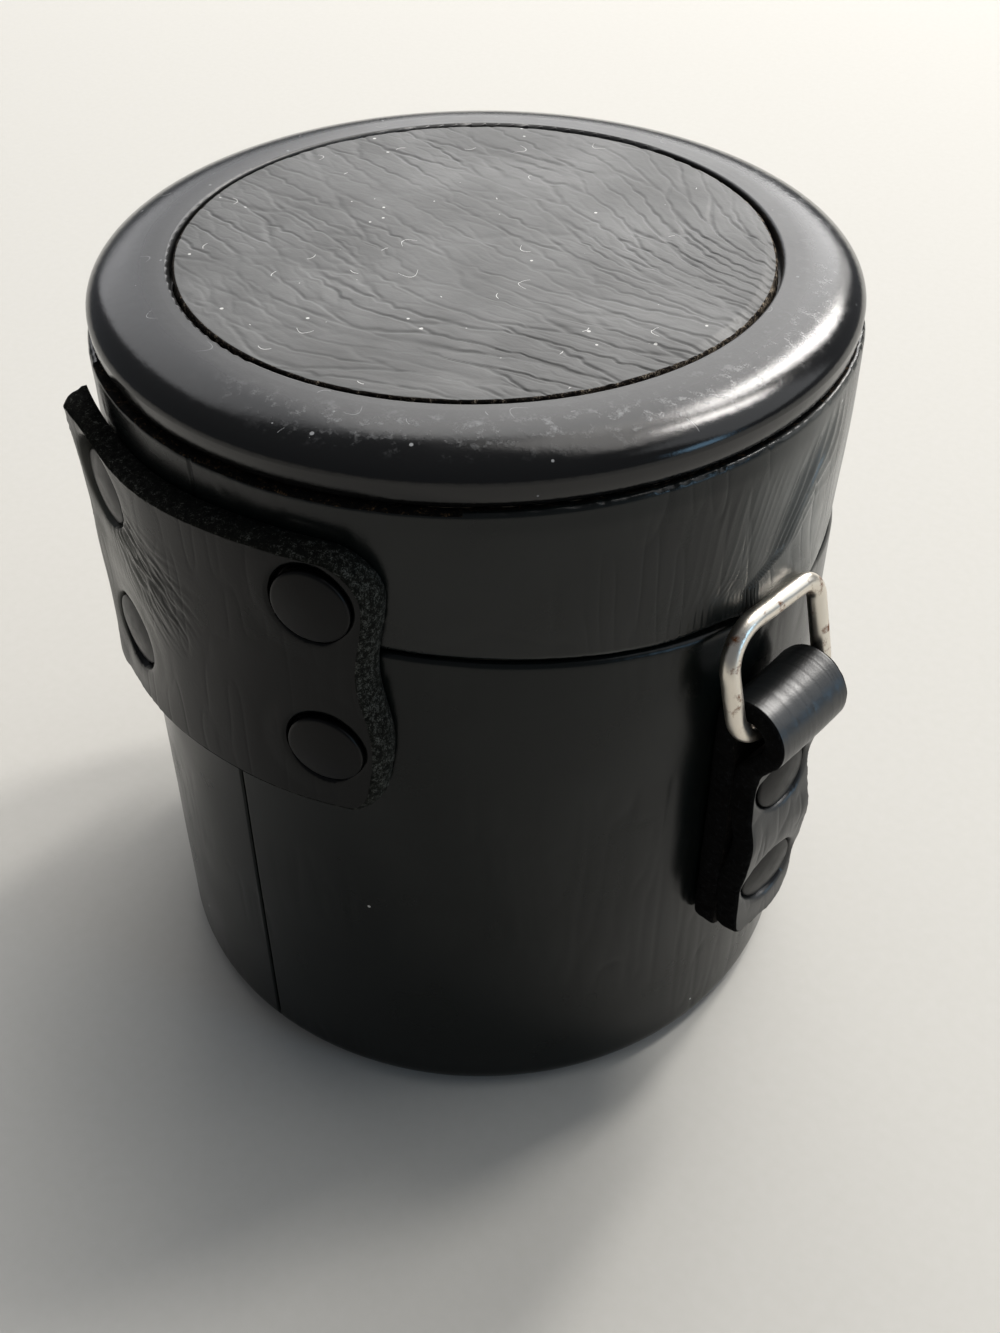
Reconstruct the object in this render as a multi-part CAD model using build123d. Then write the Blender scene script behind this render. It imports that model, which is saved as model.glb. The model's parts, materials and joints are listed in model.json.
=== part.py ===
from build123d import *
import os
from math import asin, atan, cos, degrees, hypot, radians, sin, sqrt, tan

# A round lens case: board tubes wrapped in black leather, with a lid that
# turns back on a riveted leather strap. All sizes are in millimetres.
# +Z is up, the case stands on z = 0, the hinge is on the +Y side, the
# fastening strap on the -Y side, and a wire ring for a neck strap on each flank.

# Cuts run this far past the face they open, and a quarter turn is an arc's size
cut_past = 1.0
quarter_turn = 90.0

# Walls of the body, from the outside in
body_radius = 38.5
wrap_thick = 1.2
board_thick = 2.3
neck_thick = 1.1
neck_edge = 0.35
lining_thick = 0.6

# Base, from the floor up
base_leather_thick = 1.2
base_leather_radius = 32.8
base_leather_proud = 0.3
base_board_thick = 2.5
base_pad_thick = 2.0
base_corner = 2.7
leather_joint = 0.2
pad_fit = 0.1

# Seam between lid and body: its height at the axis and its slant angle, high at the hinge
seam_height = 62.7
seam_slant_angle = 5.2
seam_gap = 0.1
rim_round = 0.7
neck_rise = 6.0

# Lid
lid_overhang = 0.2
lid_height = 19.4
lid_fit = 0.4
lid_lining_thick = 0.5
lid_pad_thick = 1.5
wrap_joint_width = 0.5
wrap_joint_depth = 0.6

# Moulded ring on the lid, with the leather disc let into it
cap_height = 5.4
cap_setback = 0.4
cap_land = 1.2
cap_under = 2.5
cap_tuck = 0.9
recess_radius = 30.0
recess_depth = 2.0
disc_gap = 0.7
disc_thick = 1.6
disc_edge = 0.4
spigot_depth = 3.0
spigot_fit = 0.05

# Cap rivets
cap_radius = 3.8
cap_rim = 0.25
cap_dome = 1.0
post_radius = 1.5
hole_clear = 0.1
back_radius = 3.4
back_thick = 0.9
rivet_sink = 0.4
dimple_spread = 1.5

# Hinge strap
strap_thick = 2.8
strap_half_angle = 28.0
strap_above = 11.6
strap_below = 18.6
strap_corner = 4.5
strap_edge = 0.6
hinge_clear = 0.1
hinge_rivet_angle = 20.0
hinge_rivet_above = 6.4
hinge_rivet_below = 10.5

# Wire rings and the folded leather tabs that hold them
ring_side_angle = 84.0
ring_height = 52.8
wire_radius = 1.0
ring_width = 15.6
ring_length = 14.0
ring_corner = 3.9
ring_rest_gap = 0.3
tab_width = 10.0
tab_layer = 2.9
tab_slit = 0.1
tab_end = 22.0
tab_outer_lift = 1.0
tab_corner = 1.6
tab_tip_round = 4.2
roll_leather = 2.3
wire_play = 0.95
roll_blend = 1.2
tab_rivet_upper = 8.2
tab_rivet_lower = 22.3

# Fastening strap on the front
closure_width = 15.0
closure_thick = 2.6
closure_root_top = 1.0
closure_pivot_lift = 0.8
closure_corner = 3.0
closure_rivet_low = 5.4
closure_rivet_high = 15.2
flap_length = 27.0
snap_distance = 18.0
snap_cap_radius = 6.2
snap_cap_rim = 0.5
snap_cap_dome = 1.7
snap_post_radius = 1.9
socket_radius = 5.0
socket_bore = 2.6
socket_height = 1.6
socket_round = 0.5
socket_lip = 1.0
stud_flange_radius = 4.5
stud_flange_thick = 0.7
stud_neck_radius = 1.7
stud_head_radius = 2.15
stud_head_round = 0.7
stud_head_height = 1.1
stud_height = 2.6
snap_rest_gap = 0.3

# Sizes that follow from the ones above
board_radius = body_radius - wrap_thick
neck_radius = board_radius - board_thick
lining_radius = neck_radius - neck_thick
cavity_radius = lining_radius - lining_thick
floor_height = base_leather_thick + base_board_thick
band_radius = body_radius + lid_overhang
lid_board_radius = band_radius - wrap_thick
lid_inner_radius = neck_radius + lid_fit
lid_board_inner = lid_inner_radius + lid_lining_thick
band_top = seam_height + lid_height
case_top = band_top + cap_height
spigot_bottom = band_top - spigot_depth
strap_face = band_radius + strap_thick
hinge_radius = strap_face + hinge_clear
seam_slope = tan(radians(seam_slant_angle))
hinge_height = seam_height + seam_slope * hinge_radius
strap_low = hinge_height - strap_below
strap_high = hinge_height + strap_above
roll_radius = wire_radius + wire_play + roll_leather
roll_reach = body_radius + roll_radius
tab_middle = body_radius + tab_layer
tab_face = tab_middle + tab_slit + tab_layer
ring_span = ring_length - 2 * wire_radius
ring_lean = degrees(asin((roll_reach - band_radius - wire_radius - ring_rest_gap) / ring_span))
front_seam = seam_height - seam_slope * body_radius
pivot_height = front_seam + closure_pivot_lift
closure_face = band_radius + closure_thick
pivot_radius = closure_face + hinge_clear
socket_mouth = closure_thick + socket_height
mouth_reach = body_radius + stud_height + snap_rest_gap - pivot_radius
flap_tilt = atan(socket_mouth / snap_distance) + asin(mouth_reach / hypot(socket_mouth, snap_distance))
stud_level = pivot_height - socket_mouth * sin(flap_tilt) - snap_distance * cos(flap_tilt)

# Compass angles round the case
hinge_side = 90.0
front_side = 270.0
left_side = hinge_side + ring_side_angle
right_side = hinge_side - ring_side_angle

far = 4 * body_radius
seam_plane = Plane(
    origin=(0, 0, seam_height),
    x_dir=(1, 0, 0),
    z_dir=(0, -sin(radians(seam_slant_angle)), cos(radians(seam_slant_angle))),
)


def above_seam(rise=0.0):
    """All the space above the lid seam, from a set distance over it."""
    block = Box(far, far, far, align=(Align.CENTER, Align.CENTER, Align.MIN))
    return seam_plane * Pos(0, 0, rise) * block


def rod(radius, low, high):
    """A round bar on the axis, from one height to another."""
    bar = Cylinder(radius, high - low, align=(Align.CENTER, Align.CENTER, Align.MIN))
    return Pos(0, 0, low) * bar


def tube(outer, inner, low, high):
    return rod(outer, low, high) - rod(inner, low - cut_past, high + cut_past)


def outward(angle, height):
    """A plane whose Z axis points straight out of the wall."""
    side = radians(angle)
    return Plane(
        origin=(0, 0, height),
        x_dir=(-sin(side), cos(side), 0),
        z_dir=(cos(side), sin(side), 0),
    )


def profile_plane(angle):
    """A plane whose X axis points out of the wall and whose Y axis points up."""
    side = radians(angle)
    return Plane(
        origin=(0, 0, 0),
        x_dir=(cos(side), sin(side), 0),
        z_dir=(sin(side), -cos(side), 0),
    )


def edges_round(part, radius, height):
    """The circular edges of one radius at one height."""
    found = part.edges().filter_by(GeomType.CIRCLE)
    return [
        edge
        for edge in found
        if abs(edge.radius - radius) < 0.01 and abs(edge.center().Z - height) < 0.01
    ]


def seam_edge(part, radius, rise):
    """The edge that the seam plane leaves on a wall of the given radius."""
    normal = seam_plane.z_dir
    found = []
    for edge in part.edges():
        middle = edge @ 0.5
        level = (middle - seam_plane.origin).dot(normal)
        reach = sqrt(middle.X**2 + middle.Y**2)
        if abs(level - rise) < 0.01 and abs(reach - radius) < 0.01:
            found.append(edge)
    return found


def joint_groove(radius, low, high):
    """The line where the two ends of a leather wrap meet, at the hinge side."""
    groove = Box(wrap_joint_width, 2 * wrap_joint_depth, high - low + 2 * cut_past)
    return Pos(0, radius, (low + high) / 2) * groove


# Rivets: where they stand, and what they are made of


def hinge_spots(height):
    angles = (hinge_side - hinge_rivet_angle, hinge_side + hinge_rivet_angle)
    return [outward(angle, height) for angle in angles]


def upper_hinge_spots():
    return hinge_spots(hinge_height + hinge_rivet_above)


def lower_hinge_spots():
    return hinge_spots(hinge_height - hinge_rivet_below)


def tab_spots(angle):
    drops = (tab_rivet_upper, tab_rivet_lower)
    return [outward(angle, ring_height - drop) for drop in drops]


def closure_spots():
    lifts = (closure_rivet_low, closure_rivet_high)
    return [outward(front_side, pivot_height + lift) for lift in lifts]


def stud_spot():
    return outward(front_side, stud_level)


def domed_disc(radius, rim, height):
    """A round cap with a short upright rim under its dome."""
    crown = height - rim
    ball = (radius**2 + crown**2) / (2 * crown)
    return rod(radius, 0, height) & Pos(0, 0, height - ball) * Sphere(ball)


def rivet(spot, cap_seat, back_seat):
    """One cap with its post, standing out of the wall."""
    cap = Pos(0, 0, cap_seat) * domed_disc(cap_radius, cap_rim, cap_dome)
    return spot * (cap + rod(post_radius, back_seat, cap_seat))


def rivets(spots, cap_seat, back_seat):
    return [rivet(spot, cap_seat, back_seat) for spot in spots]


def rivet_backs(spots, wall_inner):
    disc = rod(back_radius, wall_inner, wall_inner + back_thick)
    return [spot * disc for spot in spots]


def post_hole(spot, radius=post_radius):
    return spot * rod(radius + hole_clear, 0, far)


def back_pocket(spot, wall_inner, radius=back_radius):
    return spot * rod(radius + hole_clear, 0, wall_inner + back_thick)


def dimple(spot, face):
    """The dish that a cap pulls into the leather under it."""
    seat = rod(cap_radius + hole_clear, face - rivet_sink, face + cut_past)
    mouth = cap_radius + dimple_spread
    dish = Pos(0, 0, face) * Cone(
        cap_radius, mouth, rivet_sink, align=(Align.CENTER, Align.CENTER, Align.MAX)
    )
    return spot * (seat + dish + rod(mouth, face, face + cut_past))


# Body of the case


def base_leather():
    disc = rod(base_leather_radius, 0, base_leather_thick)
    return fillet(edges_round(disc, base_leather_radius, 0), disc_edge)


def base_board():
    disc = rod(board_radius, base_leather_thick, floor_height)
    inner_corner = base_corner - wrap_thick
    return fillet(edges_round(disc, board_radius, base_leather_thick), inner_corner)


def base_pad():
    pad = rod(cavity_radius - pad_fit, floor_height, floor_height + base_pad_thick)
    return fillet(edges_round(pad, cavity_radius - pad_fit, floor_height + base_pad_thick), disc_edge)


def body_openings():
    """Holes and pockets that the fasteners need in the body's board."""
    spots = lower_hinge_spots() + tab_spots(left_side) + tab_spots(right_side)
    cuts = [post_hole(spot) for spot in spots]
    cuts += [back_pocket(spot, neck_radius) for spot in spots]
    cuts.append(post_hole(stud_spot(), stud_neck_radius))
    cuts.append(back_pocket(stud_spot(), neck_radius, stud_flange_radius))
    return cuts


def body_board():
    wall = tube(board_radius, neck_radius, floor_height, case_top)
    wall -= above_seam()
    return wall - body_openings()


def body_leather():
    skin = rod(body_radius, base_leather_proud, case_top)
    skin = fillet(edges_round(skin, body_radius, base_leather_proud), base_corner)
    core = rod(board_radius, base_leather_thick, case_top + cut_past)
    core = fillet(edges_round(core, board_radius, base_leather_thick), base_corner - wrap_thick)
    skin -= core
    skin -= rod(base_leather_radius + leather_joint, -cut_past, base_leather_thick + cut_past)
    skin -= above_seam()
    skin = fillet(seam_edge(skin, body_radius, 0), rim_round)
    skin -= joint_groove(body_radius, 0, case_top)
    spots = lower_hinge_spots() + tab_spots(left_side) + tab_spots(right_side)
    skin -= [post_hole(spot) for spot in spots]
    return skin - post_hole(stud_spot(), stud_neck_radius)


def neck():
    wall = tube(neck_radius, lining_radius, floor_height, case_top)
    wall -= above_seam(neck_rise)
    return fillet(seam_edge(wall, neck_radius, neck_rise), neck_edge)


def body_lining():
    wall = tube(lining_radius, cavity_radius, floor_height, case_top)
    return wall - above_seam(neck_rise)


# Lid


def lid_board():
    wall = tube(lid_board_radius, lid_board_inner, 0, band_top)
    wall &= above_seam(seam_gap)
    spots = upper_hinge_spots() + closure_spots()
    wall -= [post_hole(spot) for spot in spots]
    return wall - [back_pocket(spot, lid_board_inner) for spot in spots]


def lid_band():
    wall = tube(band_radius, lid_board_radius, 0, band_top)
    wall &= above_seam(seam_gap)
    wall = fillet(seam_edge(wall, band_radius, seam_gap), rim_round)
    wall -= joint_groove(band_radius, 0, band_top)
    return wall - [post_hole(spot) for spot in upper_hinge_spots() + closure_spots()]


def lid_lining():
    wall = tube(lid_board_inner, lid_inner_radius, 0, spigot_bottom)
    return wall & above_seam(2 * seam_gap)


def lid_pad():
    low = spigot_bottom - lid_pad_thick
    pad = rod(lid_inner_radius - pad_fit, low, spigot_bottom)
    return fillet(edges_round(pad, lid_inner_radius - pad_fit, low), disc_edge)


def cap_outline():
    """Half section of the moulded ring, from the recess to the spigot."""
    rim = band_radius - cap_setback
    shoulder = recess_radius + cap_land
    waist = band_top + cap_under
    tuck = rim - cap_tuck
    spigot = lid_board_inner - spigot_fit
    recess = case_top - recess_depth
    edges = [
        Line((0, recess), (recess_radius, recess)),
        Line((recess_radius, recess), (recess_radius, case_top)),
        Line((recess_radius, case_top), (shoulder, case_top)),
        EllipticalCenterArc((shoulder, waist), rim - shoulder, case_top - waist, arc_size=quarter_turn),
        EllipticalCenterArc((tuck, waist), cap_tuck, cap_under, arc_size=-quarter_turn),
        Line((tuck, band_top), (spigot, band_top)),
        Line((spigot, band_top), (spigot, spigot_bottom)),
        Line((spigot, spigot_bottom), (0, spigot_bottom)),
        Line((0, spigot_bottom), (0, recess)),
    ]
    return make_face(Plane.XZ * Curve(children=edges))


def top_ring():
    ring = revolve(cap_outline(), Axis.Z)
    return fillet(edges_round(ring, recess_radius, case_top), disc_edge)


def top_disc():
    low = case_top - recess_depth
    radius = recess_radius - disc_gap
    disc = rod(radius, low, low + disc_thick)
    return fillet(edges_round(disc, radius, low + disc_thick), disc_edge)


# Hinge strap, one thick piece of leather that bends at the seam


def curved_plate(inner, outer, half_angle, low, high, corner, side):
    """A plate wrapped round the case, with rounded corners and a softened face."""
    section = Rectangle(outer - inner, high - low, align=(Align.MIN, Align.MIN))
    plate = revolve(Plane.XZ * Pos(inner, low) * section, Axis.Z, 2 * half_angle)
    plate = Rot(0, 0, side - half_angle) * plate
    ends = plate.edges().filter_by(GeomType.LINE)
    ends = [edge for edge in ends if abs(edge.length - (outer - inner)) < 0.01]
    plate = fillet(ends, corner)
    faces = plate.faces().filter_by(GeomType.CYLINDER)
    front = [face for face in faces if abs(face.radius - outer) < 0.001]
    return fillet(front[0].edges(), strap_edge)


def hinge_strap_on(inner, spots):
    plate = curved_plate(
        inner, strap_face, strap_half_angle, strap_low, strap_high, strap_corner, hinge_side
    )
    plate -= [dimple(spot, strap_face) for spot in spots]
    return plate - [post_hole(spot) for spot in spots]


def hinge_strap_upper():
    return hinge_strap_on(band_radius, upper_hinge_spots()) & above_seam()


def hinge_strap_lower():
    return hinge_strap_on(body_radius, lower_hinge_spots()) - above_seam()


# Wire ring and its folded tab


def tab_profile():
    """The strip of leather seen from its edge, folded over the ring's lower bar."""
    roll = Pos(roll_reach, ring_height) * Circle(roll_radius)
    back_low = sqrt(body_radius**2 - (tab_width / 2) ** 2)
    back = Pos(back_low, tab_end) * Rectangle(
        tab_middle - back_low, ring_height - tab_end, align=(Align.MIN, Align.MIN)
    )
    front_low = tab_end + tab_outer_lift
    front = Pos(tab_middle, front_low) * Rectangle(
        tab_face - tab_middle, ring_height - front_low, align=(Align.MIN, Align.MIN)
    )
    outline = roll + back + front
    crease = [point for point in outline.vertices() if abs(point.X - tab_face) < 0.01]
    outline = fillet(max(crease, key=lambda point: point.Y), roll_blend)
    bore = Pos(roll_reach, ring_height) * Circle(wire_radius + wire_play)
    slit_length = ring_height - roll_radius - tab_end + 2 * cut_past
    slit = Pos(tab_middle, tab_end - cut_past) * Rectangle(
        tab_slit, slit_length, align=(Align.MIN, Align.MIN)
    )
    throat = Pos(tab_middle + tab_slit / 2, ring_height - roll_radius) * Polygon(
        (-tab_slit / 2, 0),
        (tab_slit / 2, 0),
        (roll_reach - tab_middle + wire_radius, roll_radius - wire_radius / 2),
        (roll_reach - tab_middle - wire_radius, roll_radius - wire_radius / 2),
        align=None,
    )
    return outline - bore - slit - throat


def tab_tips(strip, angle):
    """The corner edges at the two lower ends of a folded strip."""
    side = profile_plane(angle)
    found = []
    for edge in strip.edges().filter_by(GeomType.LINE):
        middle = edge @ 0.5
        low = middle.Z < tab_end + tab_outer_lift + 0.01
        at_corner = abs(middle.dot(side.z_dir)) > tab_width / 2 - 0.01
        if low and at_corner and abs((edge % 0.5).dot(side.x_dir)) > 0.99:
            found.append(edge)
    return found


def ring_tab(angle):
    """The folded strip, whose outer end is cut round on the side away from the hinge."""
    strip = extrude(profile_plane(angle) * tab_profile(), tab_width / 2, both=True)
    strip -= rod(body_radius, 0, case_top)
    out = profile_plane(angle).x_dir
    outer = [edge for edge in tab_tips(strip, angle) if (edge @ 0.5).dot(out) > tab_middle]
    strip = fillet(min(outer, key=lambda edge: (edge @ 0.5).Y), tab_tip_round)
    strip = fillet(tab_tips(strip, angle), tab_corner)
    strip -= [dimple(spot, tab_face) for spot in tab_spots(angle)]
    return strip - [post_hole(spot) for spot in tab_spots(angle)]


def wire_ring(angle):
    """A rounded square of wire that stands in its tab and leans on the lid."""
    path = RectangleRounded(ring_width - 2 * wire_radius, ring_span, ring_corner).wire()
    start = Plane(origin=path @ 0, z_dir=path % 0)
    ring = sweep(start * Circle(wire_radius), path=path)
    flat = outward(angle, ring_height) * Pos(0, 0, roll_reach)
    return flat * Rot(-ring_lean, 0, 0) * Pos(0, ring_span / 2, 0) * ring


# Fastening strap, its flap and the snap


def closure_root():
    half_angle = degrees(asin(closure_width / 2 / closure_face))
    plate = curved_plate(
        band_radius,
        closure_face,
        half_angle,
        pivot_height - closure_corner - cut_past,
        band_top - closure_root_top,
        closure_corner,
        front_side,
    )
    plate -= rod(far, 0, pivot_height)
    spots = closure_spots()
    plate -= [dimple(spot, closure_face) for spot in spots]
    return plate - [post_hole(spot) for spot in spots]


def on_flap(part):
    """Places a piece drawn on the hanging flap: x across, y inward, z up from its pivot."""
    return Pos(0, -pivot_radius, pivot_height) * Rot(-degrees(flap_tilt), 0, 0) * part


def through_flap(radius, start, end):
    """A round bar across the flap at the snap."""
    return Pos(0, 0, -snap_distance) * Rot(-90, 0, 0) * rod(radius, start, end)


def closure_flap():
    half = closure_width / 2
    blade = Pos(0, closure_thick / 2, -(flap_length - half) / 2) * Box(
        closure_width, closure_thick, flap_length - half
    )
    tip = Pos(0, 0, -(flap_length - half)) * Rot(-90, 0, 0) * rod(half, 0, closure_thick)
    flap = blade + tip
    front = flap.faces().sort_by(Axis.Y)[0]
    low = [edge for edge in front.edges() if (edge @ 0.5).Z < -strap_edge]
    flap = fillet(low, strap_edge)
    flap -= through_flap(snap_post_radius + hole_clear, -cut_past, closure_thick + cut_past)
    return on_flap(flap)


def snap_cap():
    dome = Rot(90, 0, 0) * domed_disc(snap_cap_radius, snap_cap_rim, snap_cap_dome)
    dome = Pos(0, 0, -snap_distance) * dome
    return on_flap(dome + through_flap(snap_post_radius, 0, closure_thick))


def snap_socket():
    cup = through_flap(socket_radius, closure_thick, closure_thick + socket_height)
    mouth = cup.faces().sort_by(Axis.Y)[-1]
    cup = fillet(mouth.edges(), socket_round)
    cup -= through_flap(socket_bore, closure_thick, closure_thick + socket_height + cut_past)
    lip = through_flap(socket_radius - socket_lip, closure_thick, closure_thick + snap_cap_rim)
    return on_flap(cup + lip)


def snap_stud():
    """The stud on the body: a seat, a waist and a rounded head, with its post inside."""
    top = body_radius + stud_height
    head = rod(stud_head_radius, top - stud_head_height, top)
    head = fillet(edges_round(head, stud_head_radius, top), stud_head_round)
    seat = rod(stud_flange_radius, body_radius, body_radius + stud_flange_thick)
    seat = fillet(
        edges_round(seat, stud_flange_radius, body_radius + stud_flange_thick), cap_rim
    )
    post = rod(stud_neck_radius, neck_radius + back_thick, top - stud_head_height)
    return stud_spot() * (head + seat + post)


def snap_stud_back():
    return stud_spot() * rod(stud_flange_radius, neck_radius, neck_radius + back_thick)


cap_on_strap = strap_face - rivet_sink
cap_on_tab = tab_face - rivet_sink
cap_on_closure = closure_face - rivet_sink
body_back = neck_radius + back_thick
lid_back = lid_board_inner + back_thick

nodes = {
    "base_leather": base_leather,
    "base_board": base_board,
    "base_pad": base_pad,
    "body_board": body_board,
    "body_leather": body_leather,
    "neck": neck,
    "body_lining": body_lining,
    "hinge_strap_lower": hinge_strap_lower,
    "hinge_rivets_lower": lambda: rivets(lower_hinge_spots(), cap_on_strap, body_back),
    "hinge_rivet_backs_lower": lambda: rivet_backs(lower_hinge_spots(), neck_radius),
    "ring_tab_left": lambda: ring_tab(left_side),
    "ring_tab_right": lambda: ring_tab(right_side),
    "ring_tab_rivets_left": lambda: rivets(tab_spots(left_side), cap_on_tab, body_back),
    "ring_tab_rivets_right": lambda: rivets(tab_spots(right_side), cap_on_tab, body_back),
    "ring_tab_rivet_backs_left": lambda: rivet_backs(tab_spots(left_side), neck_radius),
    "ring_tab_rivet_backs_right": lambda: rivet_backs(tab_spots(right_side), neck_radius),
    "snap_stud": snap_stud,
    "snap_stud_back": snap_stud_back,
    "lid_top_ring": top_ring,
    "lid_top_disc": top_disc,
    "lid_board": lid_board,
    "lid_leather_band": lid_band,
    "lid_lining": lid_lining,
    "lid_pad": lid_pad,
    "hinge_strap_upper": hinge_strap_upper,
    "hinge_rivets_upper": lambda: rivets(upper_hinge_spots(), cap_on_strap, lid_back),
    "hinge_rivet_backs_upper": lambda: rivet_backs(upper_hinge_spots(), lid_board_inner),
    "closure_strap_root": closure_root,
    "closure_rivets": lambda: rivets(closure_spots(), cap_on_closure, lid_back),
    "closure_rivet_backs": lambda: rivet_backs(closure_spots(), lid_board_inner),
    "closure_flap": closure_flap,
    "snap_cap": snap_cap,
    "snap_socket": snap_socket,
    "wire_ring_left": lambda: wire_ring(left_side),
    "wire_ring_right": lambda: wire_ring(right_side),
}

os.makedirs("parts", exist_ok=True)
for name, build in nodes.items():
    made = build()
    if isinstance(made, list):
        made = Compound(children=made)
    export_step(made, f"parts/{name}.step")

print("lid hinge axis: y", round(hinge_radius, 3), "z", round(hinge_height, 3))
print("flap pivot: y", round(-pivot_radius, 3), "z", round(pivot_height, 3))
print("flap tilt", round(degrees(flap_tilt), 2), "stud level", round(stud_level, 2))
print("wire ring axis: reach", round(roll_reach, 3), "z", ring_height, "lean", round(ring_lean, 2))
print("case top", round(case_top, 2), "widest radius at the hinge", round(strap_face, 2))
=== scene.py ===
# %% [markdown]
# A round case for a camera lens, covered in black leather. The lid turns back on a thick
# riveted strap, and a wire ring on each flank takes a neck strap. This notebook dresses the
# engineering model: it never moves a part, it gives each one the surface that the real one has.

# %% Load the engineering model
import json
from math import asin, atan2, cos, hypot, pi, radians, sin

import bmesh
import bpy
import numpy as np
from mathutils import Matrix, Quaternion, Vector


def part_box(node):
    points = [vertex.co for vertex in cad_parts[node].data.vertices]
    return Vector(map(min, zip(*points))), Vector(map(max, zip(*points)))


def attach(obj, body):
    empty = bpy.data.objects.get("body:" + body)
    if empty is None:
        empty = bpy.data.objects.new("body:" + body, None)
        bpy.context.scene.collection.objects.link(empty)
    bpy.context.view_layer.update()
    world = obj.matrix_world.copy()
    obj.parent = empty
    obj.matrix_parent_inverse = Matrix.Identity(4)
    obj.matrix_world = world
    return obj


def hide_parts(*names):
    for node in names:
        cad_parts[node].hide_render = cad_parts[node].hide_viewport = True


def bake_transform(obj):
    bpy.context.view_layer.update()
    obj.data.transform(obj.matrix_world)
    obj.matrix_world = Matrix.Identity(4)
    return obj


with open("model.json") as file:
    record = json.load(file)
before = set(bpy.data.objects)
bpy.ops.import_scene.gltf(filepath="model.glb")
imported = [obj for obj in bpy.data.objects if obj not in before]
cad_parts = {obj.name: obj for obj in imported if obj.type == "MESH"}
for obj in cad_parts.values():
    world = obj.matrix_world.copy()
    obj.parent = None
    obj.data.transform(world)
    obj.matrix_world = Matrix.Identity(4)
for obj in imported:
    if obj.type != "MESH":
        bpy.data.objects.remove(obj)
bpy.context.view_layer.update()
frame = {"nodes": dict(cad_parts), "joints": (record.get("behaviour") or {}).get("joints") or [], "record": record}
mm = 0.001
print("pieces in the engineering model:", len(frame["nodes"]))

# %% [markdown]
# Leather can't be drawn well until its place is known, so the sizes come first. They are read
# from the boxes of the engineering parts and from the joints' axes, so that a change of size
# there carries over to here. All lengths from here on are in millimetres, until a mesh is made.

# %% Sizes read from the model


def corners(node):
    """Lowest and highest corner of a part, in millimetres."""
    low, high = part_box(node)
    return low / mm, high / mm


def pivot_of(name):
    """A joint's point, in millimetres."""
    found = next(row for row in frame["joints"] if row["name"] == name)
    return Vector(found["pos_m"]) / mm


body_radius = corners("body_leather")[1].x
board_radius = corners("body_board")[1].x
neck_radius = corners("neck")[1].x
band_radius = corners("lid_leather_band")[1].x
lid_board_radius = corners("lid_board")[1].x
band_top = corners("lid_leather_band")[1].z
case_top = corners("lid_top_ring")[1].z
base_radius = corners("base_leather")[1].x
flap_point = pivot_of("flap_bend")
rim_high = corners("body_board")[1].z
rim_low = corners("lid_board")[0].z
seam_slope = (rim_high - rim_low) / (board_radius + lid_board_radius)
seam_height = rim_high - seam_slope * board_radius
print("body radius", round(body_radius, 2), "lid seam at", round(seam_height, 2))

# %% [markdown]
# The camera stands where the photographer's phone stood: close, so that the round top is a wide
# ellipse and the body narrows towards the floor. A longer lens from further away would be easier
# to aim, but it would flatten that taper. The focal length is worked out for a picture of
# 1000 by 1333 pixels, and the sensor's 36 mm are its long side.

# %% Camera
camera_place = Vector((-91.4, 107.0, 154.8)) * mm
camera_target = Vector((-1.67, -1.38, 31.94)) * mm
camera_roll = radians(-0.24)
focal_pixels = 1523.1
picture_long_side = 1333
sensor_long_side = 36.0

camera = bpy.data.objects.new("camera", bpy.data.cameras.new("camera"))
bpy.context.scene.collection.objects.link(camera)
bpy.context.scene.camera = camera
camera.data.lens = sensor_long_side * focal_pixels / picture_long_side
camera.data.clip_start = 0.01
camera.location = camera_place
aim = (camera_target - camera_place).to_track_quat("-Z", "Y")
camera.rotation_mode = "QUATERNION"
camera.rotation_quaternion = aim @ Quaternion((0, 0, 1), camera_roll)
print("lens", round(camera.data.lens, 1), "mm")

# %% [markdown]
# Black leather shows little colour of its own: what the eye sees is what it mirrors. So the
# large soft panels are placed for their reflections. A window of two narrow panes, high on the
# right behind the case, gives the double streak on the ring's shoulder and the soft shadow on
# the left. Pale walls behind turn the flat top grey, more so on the right, and a glimpse of
# blue sky far on the right draws one cold line. The camera's side is dark, so the front stays
# black.

# %% Floor and light
toward_camera = Vector((camera_place.x, camera_place.y, 0)).normalized()
to_the_right = Vector((-toward_camera.y, toward_camera.x, 0))
floor_half = 4.0
floor_drop = 0.00005
panel_target = Vector((0, 0, 0.05))
daylight, blue_sky = (1.0, 0.97, 0.93), (0.40, 0.70, 1.0)


def seen_from_camera(right, away, up):
    """A direction given as the photographer sees it, in the case's own frame."""
    return to_the_right * right - toward_camera * away + Vector((0, 0, up))


def panel(name, place, width, height, brightness, colour):
    """A soft light panel that faces the case. Its power follows from brightness and area."""
    light = bpy.data.lights.new(name, "AREA")
    light.shape = "RECTANGLE"
    light.size, light.size_y = width, height
    light.energy = brightness * pi * width * height
    light.color = colour
    made = bpy.data.objects.new(name, light)
    bpy.context.scene.collection.objects.link(made)
    spot = seen_from_camera(*place)
    made.location = spot
    made.rotation_euler = (panel_target - spot).to_track_quat("-Z", "Y").to_euler()
    made.visible_camera = False


corner_spots = [(x * floor_half, y * floor_half, 0) for x, y in ((-1, -1), (1, -1), (1, 1), (-1, 1))]
floor_mesh = bpy.data.meshes.new("floor")
floor_mesh.from_pydata(corner_spots, [], [(0, 1, 2, 3)])
floor = bpy.data.objects.new("floor", floor_mesh)
bpy.context.scene.collection.objects.link(floor)
floor.location.z = -floor_drop

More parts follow.
